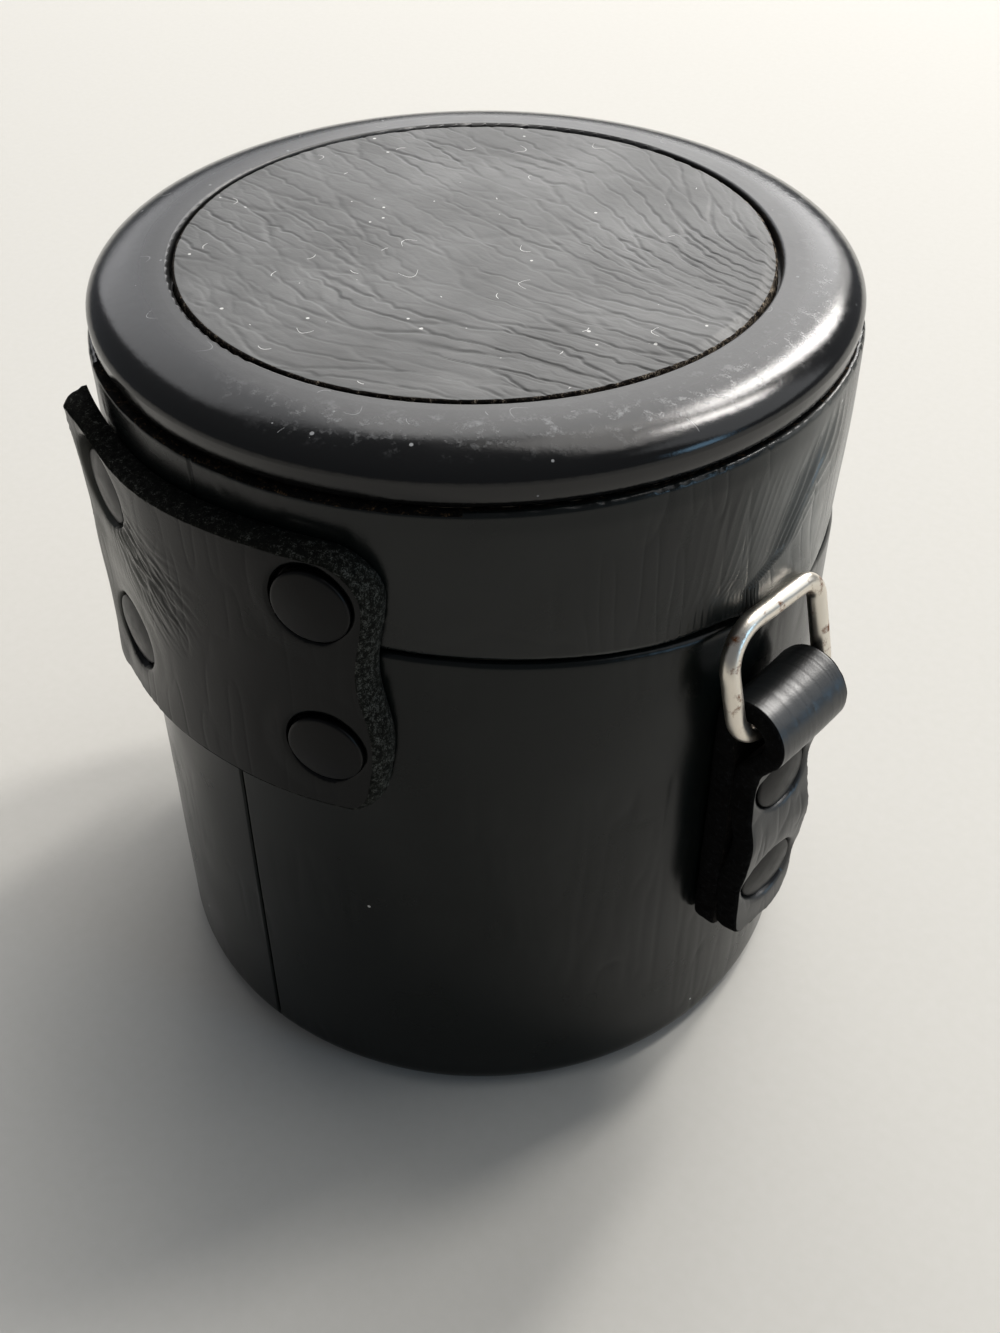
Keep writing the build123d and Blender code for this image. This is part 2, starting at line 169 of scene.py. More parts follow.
panel("window_pane_left", (0.90, 1.13, 1.28), 0.22, 1.02, 27.0, daylight)
panel("window_pane_right", (1.12, 0.62, 1.78), 0.28, 0.62, 36.0, daylight)
panel("ceiling_by_the_window", (0.62, 0.46, 2.05), 1.30, 0.62, 3.6, (1.0, 0.97, 0.94))
panel("wall_behind", (-0.12, 1.58, 1.22), 2.50, 1.80, 1.60, (0.98, 0.98, 1.0))
panel("wall_behind_right", (0.40, 1.54, 1.25), 1.50, 1.90, 2.5, (1.0, 0.98, 0.95))
panel("wall_right", (1.62, 0.05, 1.30), 1.50, 1.50, 1.25, (0.94, 0.97, 1.0))
panel("glimpse_of_sky", (1.66, -0.90, 0.44), 0.46, 0.62, 4.6, blue_sky)

world = bpy.data.worlds.new("studio")
world.use_nodes = True
backdrop = world.node_tree.nodes["Background"].inputs
backdrop["Color"].default_value = (0.84, 0.88, 0.95, 1)
backdrop["Strength"].default_value = 0.20
bpy.context.scene.world = world
bpy.context.scene.view_settings.view_transform = "Standard"
print("lights:", len(bpy.data.lights))

# %% [markdown]
# Every finish below is a small graph of nodes. The colours that people pick on a screen are
# turned into the linear values that light adds up in. One helper adds any node and hands back
# its output, so that the next node can be fed with it. Patterns are scaled by real sizes: a
# noise with a scale of one over a grain's width in metres has grains of that width.

# %% Helpers for materials


def linear(hex_colour):
    """A screen colour such as #1a1b1c as linear red, green, blue and alpha."""
    parts = [int(hex_colour[i : i + 2], 16) / 255 for i in (1, 3, 5)]
    return [p / 12.92 if p <= 0.04045 else ((p + 0.055) / 1.055) ** 2.4 for p in parts] + [1.0]


def add(tree, kind, inputs=None, **settings):
    """Adds one node and gives its first output in use. Settings are its own fields, and inputs
    are values or the outputs that feed it."""
    node = tree.nodes.new(kind)
    for key, value in settings.items():
        setattr(node, key, value)
    for key, value in (inputs or {}).items():
        if isinstance(value, bpy.types.NodeSocket):
            tree.links.new(value, node.inputs[key])
        else:
            node.inputs[key].default_value = value
    return next(output for output in node.outputs if output.enabled)


def start_material(name, roughness, metallic=0.0, mirror=0.5):
    """A material, its tree and the place on the piece, in metres. Mirror is its gloss's strength."""
    made = bpy.data.materials.new(name)
    made.use_nodes = True
    shader = made.node_tree.nodes["Principled BSDF"]
    shader.inputs["Roughness"].default_value = roughness
    shader.inputs["Metallic"].default_value = metallic
    shader.inputs["Specular IOR Level"].default_value = mirror
    where = add(made.node_tree, "ShaderNodeTexCoord").node.outputs["Object"]
    return made, made.node_tree, where


def end_material(made, colour, relief=None, depth=0.0, gloss=None):
    """Wires colour, roughness and a relief that is so many millimetres deep to the shader."""
    tree = made.node_tree
    shader = tree.nodes["Principled BSDF"]
    tree.links.new(colour, shader.inputs["Base Color"])
    if gloss is not None:
        tree.links.new(gloss, shader.inputs["Roughness"])
    if relief is not None:
        bump = add(tree, "ShaderNodeBump", {"Height": relief, "Strength": 1.0, "Distance": depth * mm})
        tree.links.new(bump, shader.inputs["Normal"])
    return made


def grains(width):
    """The texture scale whose features are that wide, in millimetres."""
    return 1.0 / (width * mm)


print("material helpers ready")

# %% [markdown]
# Dust shows more on black than on any other colour. Specks and short curled fibres are placed
# by scattered cells: a cell's own random numbers say whether it holds one, how large it is and
# which way it lies. They only change colour and gloss, because they are too thin to stand out.

# %% Dust and fibres
fibre_curl = 0.7
level_enough = 0.8


def scattered(tree, where, spacing):
    """Scattered cells of that width, with three random numbers for each."""
    inputs = {"Vector": where, "Scale": grains(spacing), "Randomness": 1.0}
    cells = add(tree, "ShaderNodeTexVoronoi", inputs).node.outputs
    return cells, add(tree, "ShaderNodeSeparateColor", {"Color": cells["Color"]}).node.outputs


def dust(tree, where, spacing, size, share):
    """Specks of dust: a mask that is 1 on small dots, in a share of cells of that spacing."""
    cells, pick = scattered(tree, where, spacing)
    chosen = add(tree, "ShaderNodeMath", {0: pick["Red"], 1: share}, operation="LESS_THAN")
    radius = add(tree, "ShaderNodeMath", {0: pick["Green"], 1: size / spacing}, operation="MULTIPLY")
    inside = add(tree, "ShaderNodeMath", {0: cells["Distance"], 1: radius}, operation="LESS_THAN")
    return add(tree, "ShaderNodeMath", {0: chosen, 1: inside}, operation="MULTIPLY")


def hairs(tree, where, spacing, length, width, share):
    """Short curled fibres lying on the surface, one in a share of cells of that spacing."""
    cells, pick = scattered(tree, where, spacing)
    offset = add(tree, "ShaderNodeVectorMath", {0: where, 1: cells["Position"]}, operation="SUBTRACT")
    turn = add(tree, "ShaderNodeMath", {0: pick["Blue"], 1: 2 * pi}, operation="MULTIPLY")
    inputs = {"Vector": offset, "Angle": turn}
    turned = add(tree, "ShaderNodeVectorRotate", inputs, rotation_type="Z_AXIS")
    part = add(tree, "ShaderNodeSeparateXYZ", {"Vector": turned}).node.outputs
    curl = add(tree, "ShaderNodeMath", {0: pick["Green"], 1: grains(fibre_curl)}, operation="MULTIPLY")
    square = add(tree, "ShaderNodeMath", {0: part["X"], 1: 2.0}, operation="POWER")
    bent = add(tree, "ShaderNodeMath", {0: square, 1: curl}, operation="MULTIPLY")
    beside = add(tree, "ShaderNodeMath", {0: part["Y"], 1: bent}, operation="SUBTRACT")
    across = add(tree, "ShaderNodeMath", {0: beside}, operation="ABSOLUTE")
    along = add(tree, "ShaderNodeMath", {0: part["X"]}, operation="ABSOLUTE")
    reach = add(tree, "ShaderNodeMath", {0: pick["Green"], 1: length * mm / 2}, operation="MULTIPLY")
    away = add(tree, "ShaderNodeVectorMath", {0: offset}, operation="LENGTH")
    # Fibres settle on what faces up, they don't cling to upright walls
    normal = add(tree, "ShaderNodeNewGeometry").node.outputs["True Normal"]
    facing = add(tree, "ShaderNodeSeparateXYZ", {"Vector": normal}).node.outputs
    mask = add(tree, "ShaderNodeMath", {0: facing["Z"], 1: level_enough}, operation="GREATER_THAN")
    # The cells fill space, so without the last of these a fibre would run on down a slope
    limits = [(across, width * mm), (along, reach), (pick["Red"], share), (away, 0.9 * length * mm)]
    for value, limit in limits:
        within = add(tree, "ShaderNodeMath", {0: value, 1: limit}, operation="LESS_THAN")
        mask = add(tree, "ShaderNodeMath", {0: mask, 1: within}, operation="MULTIPLY")
    return mask


print("dust and fibres ready")

# %% [markdown]
# The case is wrapped in thin calf leather: dyed black through, pressed smooth and glazed. It
# gives a deep black with a soft gloss, pores too fine to count and a faint mottle where hands
# have polished it. One recipe makes the wrap, the drier disc on the lid and the straps, with
# other values for gloss and dust. The disc's grey base is partly its dust and dryness, partly
# painted sheen for the bright wall that it mirrors; the straps' base is darker than the wrap's
# as painted shade. Painted wrinkles would look printed, so the wrinkles are in the meshes and
# only pores and dust are in the material. Where a piece catches bright reflections, a soft grey
# spot round one place is painted sheen, for the pieces that need it.

# %% Glazed calf leather
pore_width = 0.22
mottle_width = 9.0
dust_grey = "#b4b3b0"


def calf_leather(name, colour, worn_colour, roughness, mirror, pore_depth, dusty, wear_and_painted_sheen=None):
    """Black dyed calf with pores, a mottle of wear, and dust on it. The last argument, if given,
    is a grey spot of painted sheen: its place and reach in metres and its colour."""
    made, tree, where = start_material(name, roughness, mirror=mirror)
    pores = add(tree, "ShaderNodeTexNoise", {"Vector": where, "Scale": grains(pore_width), "Detail": 3.0})
    mottle = add(tree, "ShaderNodeTexNoise", {"Vector": where, "Scale": grains(mottle_width), "Detail": 5.0})
    worn = add(tree, "ShaderNodeMapRange", {"Value": mottle, "From Min": 0.35, "From Max": 0.7})
    inputs = {0: worn, 6: linear(colour), 7: linear(worn_colour)}
    tone = add(tree, "ShaderNodeMix", inputs, data_type="RGBA")
    # A soft grey spot round one place is painted sheen, where the leather catches bright reflections.
    if wear_and_painted_sheen:
        place, reach, grey = wear_and_painted_sheen
        far = add(tree, "ShaderNodeVectorMath", {0: where, 1: place}, operation="DISTANCE")
        inputs = {"Value": far, "From Min": reach, "From Max": 0.2 * reach}
        near = add(tree, "ShaderNodeMapRange", inputs, interpolation_type="SMOOTHSTEP")
        uneven = add(tree, "ShaderNodeMath", {0: near, 1: worn}, operation="MULTIPLY")
        spot = add(tree, "ShaderNodeMath", {0: near, 1: uneven}, operation="ADD")
        half = add(tree, "ShaderNodeMath", {0: spot, 1: 0.5}, operation="MULTIPLY")
        tone = add(tree, "ShaderNodeMix", {0: half, 6: tone, 7: linear(grey)}, data_type="RGBA")
    duller, shinier = roughness + 0.05, roughness - 0.05
    inputs = {"Value": mottle, "From Min": 0.3, "From Max": 0.75, "To Min": duller, "To Max": shinier}
    gloss = add(tree, "ShaderNodeMapRange", inputs)
    specks = dust(tree, where, 1.8, 0.20, dusty)
    fibres = hairs(tree, where, 5.0, 2.3, 0.035, 0.9 * dusty)
    dirt = add(tree, "ShaderNodeMath", {0: specks, 1: fibres}, operation="MAXIMUM")
    soiled = add(tree, "ShaderNodeMix", {0: dirt, 6: tone, 7: linear(dust_grey)}, data_type="RGBA")
    return end_material(made, soiled, pores, pore_depth, gloss)


# The grey spots by the ring and by the far rivets are painted sheen, on the band's folds and the strap's crinkles.
by_the_ring = Vector((-0.0383, -0.0064, 0.0705))
by_the_far_rivets = Vector((0.0165, 0.0385, 0.0655))
calf_black, calf_polished = "#070b0a", "#0e1211"
band_leather = calf_leather(
    "calf_wrap_painted_sheen_by_the_ring", calf_black, calf_polished, 0.25, 0.28, 0.010, 0.03,
    (by_the_ring, 0.019, "#72726e"),
)
wrap_leather = calf_leather("glazed_calf_wrap", calf_black, calf_polished, 0.24, 0.20, 0.010, 0.03)
# The disc's grey base is partly dust and dryness, partly painted sheen for the bright wall it mirrors.
disc_leather = calf_leather("dry_calf_disc_painted_sheen", "#3d3d3c", "#494948", 0.46, 0.33, 0.012, 0.36)
# The strap's base is darker than the wrap's as painted shade, for the strap on the case's shaded side.
strap_leather = calf_leather(
    "harness_leather_painted_shade_and_sheen", "#030404", "#080909", 0.24, 0.15, 0.014, 0.03,
    (by_the_far_rivets, 0.016, "#5c5c56"),
)
tab_face_leather = calf_leather("rubbed_tab_leather", "#0a0c0d", "#121415", 0.36, 0.75, 0.014, 0.03)
print("leathers:", wrap_leather.name, disc_leather.name, strap_leather.name)

# %% [markdown]
# Where thick leather is cut, the blade opens its fibre. The dye has only stained it, so the
# edge is a dull felt of black and brown with paler fibre ends in it, and no gloss at all. Two
# noises as fine as the fibres give the felt and its specks. An edge can be made paler towards
# one side, and the recipe can be told where that side is and where the paling sets in: on the
# disc it is wear where the edge rubs, on the hinge strap it is painted light on the end that the
# window lights. The tabs' edges are a darker copy, as painted shade.

# %% Raw cut edges
fibre_width = 0.14
clump_width = 4 * fibre_width
most_wear_and_light = 0.08


def raw_fibre(name, dark, middle, pale, depth, pale_side=None, wear_and_light_span=(0.0, 1.0)):
    """The felted edge of cut leather, from its darkest to its palest fibres. Paling sets in between
    two distances from the axis, in metres, on the pale side: wear on the disc, painted light on the strap."""
    made, tree, where = start_material(name, 0.95, mirror=0.1)
    inputs = {"Vector": where, "Scale": grains(fibre_width), "Detail": 3.0, "Roughness": 0.6}
    fine = add(tree, "ShaderNodeTexNoise", inputs)
    clump = add(tree, "ShaderNodeTexNoise", {"Vector": where, "Scale": grains(clump_width), "Detail": 4.0})
    paler = 0.0
    if pale_side:
        side = add(tree, "ShaderNodeVectorMath", {0: where, 1: pale_side}, operation="DOT_PRODUCT")
        inputs = {"Value": side, "From Min": wear_and_light_span[0], "From Max": wear_and_light_span[1], "To Max": most_wear_and_light}
        paler = add(tree, "ShaderNodeMapRange", inputs)
    felt = add(tree, "ShaderNodeMath", {0: fine, 1: clump}, operation="MULTIPLY")
    level = add(tree, "ShaderNodeMath", {0: felt, 1: paler}, operation="ADD")
    fibres = add(tree, "ShaderNodeValToRGB", {"Fac": level})
    stops = fibres.node.color_ramp.elements
    stops[0].position, stops[0].color = 0.20, linear(dark)
    stops[1].position, stops[1].color = 0.46, linear(pale)
    stops.new(0.31).color = linear(middle)
    return end_material(made, fibres, fine, depth)


far_side = (-1.0, 0.0, 0.0)
worn_side = seen_from_camera(0.93, -0.36, 0)
strap_painted_light_span, disc_wear = (0.010, 0.020), (0.016, 0.028)
# The strap's edge is paler towards its near end: painted light, where the window lights that end.
strap_edge = raw_fibre("raw_strap_edge", "#080907", "#151612", "#4b4c48", 0.10, far_side, strap_painted_light_span)
# The tabs' edges are a darker copy of the strap's: painted shade, for edges turned from the window.
painted_shade_tab_edge = raw_fibre("raw_tab_edge_painted_shade", "#020202", "#060606", "#1c1d20", 0.12)
wrap_edge = raw_fibre("raw_wrap_edge", "#040404", "#0d0b09", "#59452f", 0.08)
disc_edge = raw_fibre("raw_disc_edge", "#060504", "#1a1410", "#857a6b", 0.10, worn_side, disc_wear)
flesh_side = raw_fibre("leather_flesh_side", "#0c0c0c", "#1c1a18", "#3a352f", 0.12)
print("edges:", strap_edge.name, wrap_edge.name, disc_edge.name)

# %% [markdown]
# The ring on the lid is moulded plastic, in a polished tool: smooth, black to the core, with a
# clear mirror where it curves. Years in a bag have dulled its flat land and left a belt of
# scuffs and dust on the shoulder. The scuffs are rougher and paler than the plastic round
# them, so a mask by radius mixes both in where the shoulder turns over. The land is duller
# than the shoulder, because it is what the case stands on when it is turned over.

# %% Moulded black plastic
scuffed_side = seen_from_camera(0.7, -0.7, 0)
scuff_radius = 34.0
scuff_spread = 3.2
scuff_width = 1.3
land_radius, shoulder_radius = 32.0, 34.5
land_roughness, shoulder_roughness, scuff_roughness = 0.30, 0.10, 0.62


def moulded_plastic():
    """Polished black plastic with a scuffed shoulder."""
    made, tree, where = start_material("moulded_black_plastic", 0.17, mirror=0.38)
    part = add(tree, "ShaderNodeSeparateXYZ", {"Vector": where}).node.outputs
    level = add(tree, "ShaderNodeCombineXYZ", {"X": part["X"], "Y": part["Y"]})
    reach = add(tree, "ShaderNodeVectorMath", {0: level}, operation="LENGTH")
    beside = add(tree, "ShaderNodeMath", {0: reach, 1: scuff_radius * mm}, operation="SUBTRACT")
    apart = add(tree, "ShaderNodeMath", {0: beside}, operation="ABSOLUTE")
    inputs = {"Value": apart, "From Max": scuff_spread * mm, "To Min": 1.0, "To Max": 0.0}
    belt = add(tree, "ShaderNodeMapRange", inputs)
    side = add(tree, "ShaderNodeVectorMath", {0: where, 1: scuffed_side}, operation="DOT_PRODUCT")
    zone = add(tree, "ShaderNodeMapRange", {"Value": side, "From Min": -0.002, "From Max": 0.016})
    patch = add(tree, "ShaderNodeMath", {0: belt, 1: zone}, operation="MULTIPLY")
    inputs = {"Vector": where, "Scale": grains(scuff_width), "Detail": 9.0, "Roughness": 0.72}
    wear_and_painted_sheen = add(tree, "ShaderNodeTexNoise", inputs)
    pale = add(tree, "ShaderNodeMapRange", {"Value": wear_and_painted_sheen, "From Min": 0.535, "From Max": 0.73})
    scuffs = add(tree, "ShaderNodeMath", {0: pale, 1: patch}, operation="MULTIPLY")
    specks = dust(tree, where, 1.9, 0.20, 0.30)
    fibres = hairs(tree, where, 4.5, 2.2, 0.035, 0.40)
    dirt = add(tree, "ShaderNodeMath", {0: specks, 1: fibres}, operation="MAXIMUM")
    marks = add(tree, "ShaderNodeMath", {0: scuffs, 1: dirt}, operation="MAXIMUM")
    inputs = {"Value": reach, "From Min": land_radius * mm, "From Max": shoulder_radius * mm}
    inputs |= {"To Min": land_roughness, "To Max": shoulder_roughness}
    shoulder = add(tree, "ShaderNodeMapRange", inputs)
    cloud = add(tree, "ShaderNodeTexNoise", {"Vector": where, "Scale": grains(6.0), "Detail": 4.0})
    gloss = add(tree, "ShaderNodeMath", {0: cloud, 1: 0.08, 2: shoulder}, operation="MULTIPLY_ADD")
    dull = add(tree, "ShaderNodeMix", {0: marks, 2: gloss, 3: scuff_roughness}, data_type="FLOAT")
    inputs = {0: marks, 6: linear("#0d0d0d"), 7: linear("#78797a")}
    tone = add(tree, "ShaderNodeMix", inputs, data_type="RGBA")
    return end_material(made, tone, wear_and_painted_sheen, 0.02, dull)


ring_plastic = moulded_plastic()
print("plastic:", ring_plastic.name)

# %% [markdown]
# The metals are cheap and plain. The rivet caps are steel under a stoved black lacquer, as
# smooth as a button. The wire rings are steel with a thin nickel plate, rubbed through to
# brown rust at the corners. The snap is nickelled brass and the washers inside are bare steel.
# A metal gets its colour from its reflection, so the bare ones have metallic at 1 and keep the
# default index of refraction.

# %% Metals


def lacquered_steel():
    """Black stoved lacquer, slightly orange-peeled, over a steel cap."""
    made, tree, where = start_material("black_lacquered_steel", 0.34, mirror=0.13)
    peel = add(tree, "ShaderNodeTexNoise", {"Vector": where, "Scale": grains(1.1), "Detail": 2.0})
    inputs = {"Value": peel, "From Min": 0.3, "From Max": 0.7, "To Min": 0.28, "To Max": 0.38}
    gloss = add(tree, "ShaderNodeMapRange", inputs)
    inputs = {0: peel, 6: linear("#050505"), 7: linear("#090909")}
    tone = add(tree, "ShaderNodeMix", inputs, data_type="RGBA")
    return end_material(made, tone, peel, 0.01, gloss)


def plated_metal(name, bright, tarnished, patch, share, smooth, dull):
    """A plated metal: bright, with tarnish in patches of that width."""
    made, tree, where = start_material(name, smooth, 1.0)
    inputs = {"Vector": where, "Scale": grains(patch), "Detail": 6.0, "Roughness": 0.65}
    stain = add(tree, "ShaderNodeTexNoise", inputs)
    mask = add(tree, "ShaderNodeMapRange", {"Value": stain, "From Min": share, "From Max": share + 0.12})
    gloss = add(tree, "ShaderNodeMix", {0: mask, 2: smooth, 3: dull}, data_type="FLOAT")
    inputs = {0: mask, 6: linear(bright), 7: linear(tarnished)}
    tone = add(tree, "ShaderNodeMix", inputs, data_type="RGBA")
    return end_material(made, tone, stain, 0.03, gloss)


rivet_lacquer = lacquered_steel()
ring_nickel = plated_metal("worn_nickel_plate", "#ddd6ca", "#74492c", 1.7, 0.555, 0.30, 0.52)
snap_brass = plated_metal("nickelled_brass", "#b5ad9c", "#7b6a47", 2.2, 0.56, 0.26, 0.42)
washer_steel = plated_metal("bare_steel", "#8f8c87", "#55504a", 1.8, 0.55, 0.34, 0.50)
print("metals:", ring_nickel.name, snap_brass.name, washer_steel.name)

# %% [markdown]
# Inside, the tubes are pressed board and the lining is a short-pile cotton velveteen. Board is
# flecked and matt. Velveteen is nearly black looking down into its pile and lighter where the
# pile leans away, which the shader's sheen gives with no extra geometry. The floor is a sweep
# of matt paper, with a tooth that is only just seen.

# %% Board, lining and floor


def pressed_board():
    """Grey-brown board with paper flecks."""
    made, tree, where = start_material("pressed_board", 0.85)
    fleck = add(tree, "ShaderNodeTexNoise", {"Vector": where, "Scale": grains(0.5), "Detail": 8.0})
    inputs = {0: fleck, 6: linear("#57493a"), 7: linear("#8d7b64")}
    tone = add(tree, "ShaderNodeMix", inputs, data_type="RGBA")
    return end_material(made, tone, fleck, 0.05)


def cotton_velveteen():
    """Dark brown short-pile cotton."""
    made, tree, where = start_material("cotton_velveteen", 0.95)
    shader = tree.nodes["Principled BSDF"]
    shader.inputs["Sheen Weight"].default_value = 0.5
    shader.inputs["Sheen Roughness"].default_value = 0.4
    pile = add(tree, "ShaderNodeTexNoise", {"Vector": where, "Scale": grains(0.35), "Detail": 4.0})
    lean = add(tree, "ShaderNodeTexNoise", {"Vector": where, "Scale": grains(8.0), "Detail": 2.0})
    both = add(tree, "ShaderNodeMath", {0: pile, 1: lean}, operation="MULTIPLY")
    inputs = {0: both, 6: linear("#1d1410"), 7: linear("#6b4c3c")}
    tone = add(tree, "ShaderNodeMix", inputs, data_type="RGBA")
    return end_material(made, tone, pile, 0.12)


def matt_floor():
    """A plain pale sweep of matt paper."""
    made, tree, where = start_material("pale_paper_floor", 0.9)
    tooth = add(tree, "ShaderNodeTexNoise", {"Vector": where, "Scale": grains(1.5), "Detail": 3.0})
    inputs = {0: tooth, 6: linear("#b3b1ab"), 7: linear("#b8b6b1")}
    tone = add(tree, "ShaderNodeMix", inputs, data_type="RGBA")
    return end_material(made, tone)


board = pressed_board()
lining = cotton_velveteen()
floor.data.materials.append(matt_floor())
print("materials so far:", len(bpy.data.materials))

# %% [markdown]
# Now the shapes. Random heights on a grid, smoothed between, give the soft swellings of
# leather, and the thin lines along which such a field crosses its middle value give fine
# wandering wrinkles. Old creases are another matter: they run on, kink and join up. They look
# like the borders between scattered cells that have been stretched one way, so the last
# of these functions measures how far a point is from such a border.

# %% Random fields for wrinkles


def soft_field(x, y, seed, turns=None):
    """Smooth random heights from 0 to 1, with a new one at each whole step of x and y."""
    size = 512
    heights = np.random.default_rng(seed).random((size, size))
    column, row = np.floor(x).astype(int), np.floor(y).astype(int)
    u, v = x - column, y - row
    u, v = u * u * (3 - 2 * u), v * v * (3 - 2 * v)
    wrap = turns or size
    left, right = column % wrap, (column + 1) % wrap
    low, high = row % size, (row + 1) % size
    bottom = heights[left, low] * (1 - u) + heights[right, low] * u
    top = heights[left, high] * (1 - u) + heights[right, high] * u
    return bottom * (1 - v) + top * v


def crease_lines(x, y, seed, turns=None, thin=6):
    """1 along thin wandering lines and near 0 between them."""
    return (1 - np.abs(2 * soft_field(x, y, seed, turns) - 1)) ** thin


def rise(value, start, end):
    """0 before start, 1 after end, and smooth between. Start may be above end."""
    t = np.clip((value - start) / (end - start), 0, 1)
    return t * t * (3 - 2 * t)


def hump(value, width):
    """1 where the value is 0, falling off on both sides over that width."""
    return np.exp(-((value / width) ** 2))


def border_lines(x, y, seed, width):
    """1 on the borders between cells scattered one to a unit square, falling to 0 beside them."""
    size = 256
    spread = np.random.default_rng(seed).random((2, size, size))
    column, row = np.floor(x).astype(int), np.floor(y).astype(int)
    near = np.full(np.shape(x), 9.0)
    second = near.copy()
    for i in (-1, 0, 1):
        for j in (-1, 0, 1):
            c, r = column + i, row + j
            shift = spread[:, c % size, r % size]
            away = np.hypot(c + shift[0] - x, r + shift[1] - y)
            second = np.minimum(second, np.maximum(near, away))
            near = np.minimum(near, away)
    return hump((second - near) / 2, width)


print("a crease field in four points:", crease_lines(np.arange(4) * 0.3, np.zeros(4), 1).round(2))

# %% [markdown]
# Meshes here are grids of quads, worked out with numpy and handed over in one go. Round
# pieces are a closed profile swept round the axis. Pieces cut from a sheet of leather have a
# face, a back and a cut edge between them, so they come from one function that lays a grid
# over the cut outline, and each then bends its flat sheet into place.

# %% Helpers for meshes


def quads(rows, columns, wrap_rows=False, wrap_columns=False):
    """Faces of a grid of points, counted row by row."""
    r = np.arange(rows if wrap_rows else rows - 1)
    c = np.arange(columns if wrap_columns else columns - 1)
    r, c = np.meshgrid(r, c, indexing="ij")
    r2, c2 = (r + 1) % rows, (c + 1) % columns
    corners_of = [r * columns + c, r * columns + c2, r2 * columns + c2, r2 * columns + c]
    return np.stack(corners_of, -1).reshape(-1, 4)


def make_piece(name, points, faces, materials, body, stands_for, kinds=None, last=(), weld=False):
    """A mesh piece from points in millimetres. Kinds gives each face its material's number, last
    is one more face that closes a flat back, and weld joins points that lie in one spot."""
    mesh = bpy.data.meshes.new(name)
    rows = faces.tolist() + ([list(last)] if len(last) else [])
    mesh.from_pydata((np.asarray(points).reshape(-1, 3) * mm).tolist(), [], rows)
    for material in materials:
        mesh.materials.append(material)
    if kinds is not None:
        numbers = np.concatenate([kinds, [len(materials) - 1] * (len(rows) - len(kinds))])
        mesh.polygons.foreach_set("material_index", numbers.astype(np.int32))
    mesh.polygons.foreach_set("use_smooth", np.ones(len(mesh.polygons), bool))
    tidy = bmesh.new()
    tidy.from_mesh(mesh)
    bmesh.ops.recalc_face_normals(tidy, faces=tidy.faces)
    if weld:
        bmesh.ops.remove_doubles(tidy, verts=tidy.verts, dist=1e-6)
    tidy.to_mesh(mesh)
    tidy.free()
    made = bpy.data.objects.new(name, mesh)
    bpy.context.scene.collection.objects.link(made)
    if body:
        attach(made, body)
    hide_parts(*stands_for)
    print(name, "has", len(mesh.polygons), "faces")
    return made


def round_points(reach, angle, height):
    """Points from a distance to the axis, an angle round it and a height."""
    return np.stack([reach * np.cos(angle), reach * np.sin(angle), height], -1)


def outward_at(angle):
    """The direction that points away from the axis at that angle."""
    return np.array([cos(angle), sin(angle), 0])


def at_height(height):
    """A point on the axis."""
    return np.array([0, 0, height])


def arc(centre, radius, start, end, steps):
    """Points of an arc in a profile, by angles in degrees."""
    turn = np.radians(np.linspace(start, end, steps))
    return np.stack([centre[0] + radius * np.cos(turn), centre[1] + radius * np.sin(turn)], -1)


def line(start, end, steps):
    """Evenly spaced points from start to just before end."""
    t = np.linspace(0, 1, steps, endpoint=False)[:, None]
    return np.array(start) * (1 - t) + np.array(end) * t


def evenly(marks, steps, closed=False):
    """A line through the same marks with evenly spaced points, and its length."""
    run = np.concatenate([[0], np.cumsum(np.linalg.norm(np.diff(marks, axis=0), axis=1))])
    even = np.linspace(0, run[-1], steps, endpoint=not closed)
    return np.stack([np.interp(even, run, marks[:, i]) for i in range(2)], -1), run[-1]


print("mesh helpers ready")

# %% [markdown]
# Lid and body meet at a seam that runs all round. The boards were cut by hand, so it isn't
# quite a plane: it wanders by half a millimetre, and the lid's edge has lifted a little beside
# the wire ring. Body and lid use the same wandering line, or they would cut into each other.

# %% The seam line
hinge_side = pi / 2
camera_side = atan2(toward_camera.y, toward_camera.x)
ring_side = atan2(pivot_of("ring_swing_left").y, pivot_of("ring_swing_left").x)
wander_phase = radians(153)
seam_wander = 0.6
seam_gap = 0.28
lift_beside_ring = 0.45
joint_zone = 0.016


def seam_at(angle, reach):
    """Height of the flat seam under a point of the wall."""
    return seam_height + seam_slope * reach * np.sin(angle)


def wander(angle):
    """How far the leather's edge strays from the flat seam."""
    return -seam_wander * np.sin(2 * (angle - wander_phase))


def around(angle, middle):
    """The angle from a middle, between minus and plus half a turn."""
    return (angle - middle + pi) % (2 * pi) - pi


def beside(angle, middle, start, end):
    """A share by the distance from an angle, with start and end in degrees."""
    return rise(np.abs(around(angle, middle)), radians(start), radians(end))


def wall_angles(steps, zone=None):
    """Angles round the case, closer together at the leather's joint and in one more zone, which
    is given as (middle, half width, steps)."""
    even = np.linspace(0, 2 * pi, steps, endpoint=False)
    extra = []
    for middle, half, count in [(hinge_side, joint_zone, 15)] + ([zone] if zone else []):
        even = even[np.abs(around(even, middle)) > half]
        extra.append(middle + np.linspace(-1, 1, count) * half)
    return np.sort(np.concatenate([even, *extra]) % (2 * pi))[None, :]


def butt_joint(angle, radius):
    """The narrow valley where the two ends of the wrap meet at the hinge side."""
    return rise(np.abs(around(angle, hinge_side)) * radius, 0.30, 0.06)


around_wall = wall_angles(760)
print("columns round the wall:", around_wall.size)

# %% [markdown]
# The body's leather is one strip, glued round the board tube, turned under the base and over
# the top rim. Its profile is a thin closed loop: under the base, round the lower corner, up
# the wall, over the rim and back down inside. The wall then gets upright crinkles, because
# leather glued round a drum wrinkles across the pull, and a few slow swellings.

# %% Leather round the body
wrap_thick = body_radius - board_radius
lower_corner = 2.7
rim_round = 0.8
rim_blend = 0.6
base_height = corners("body_leather")[0].z


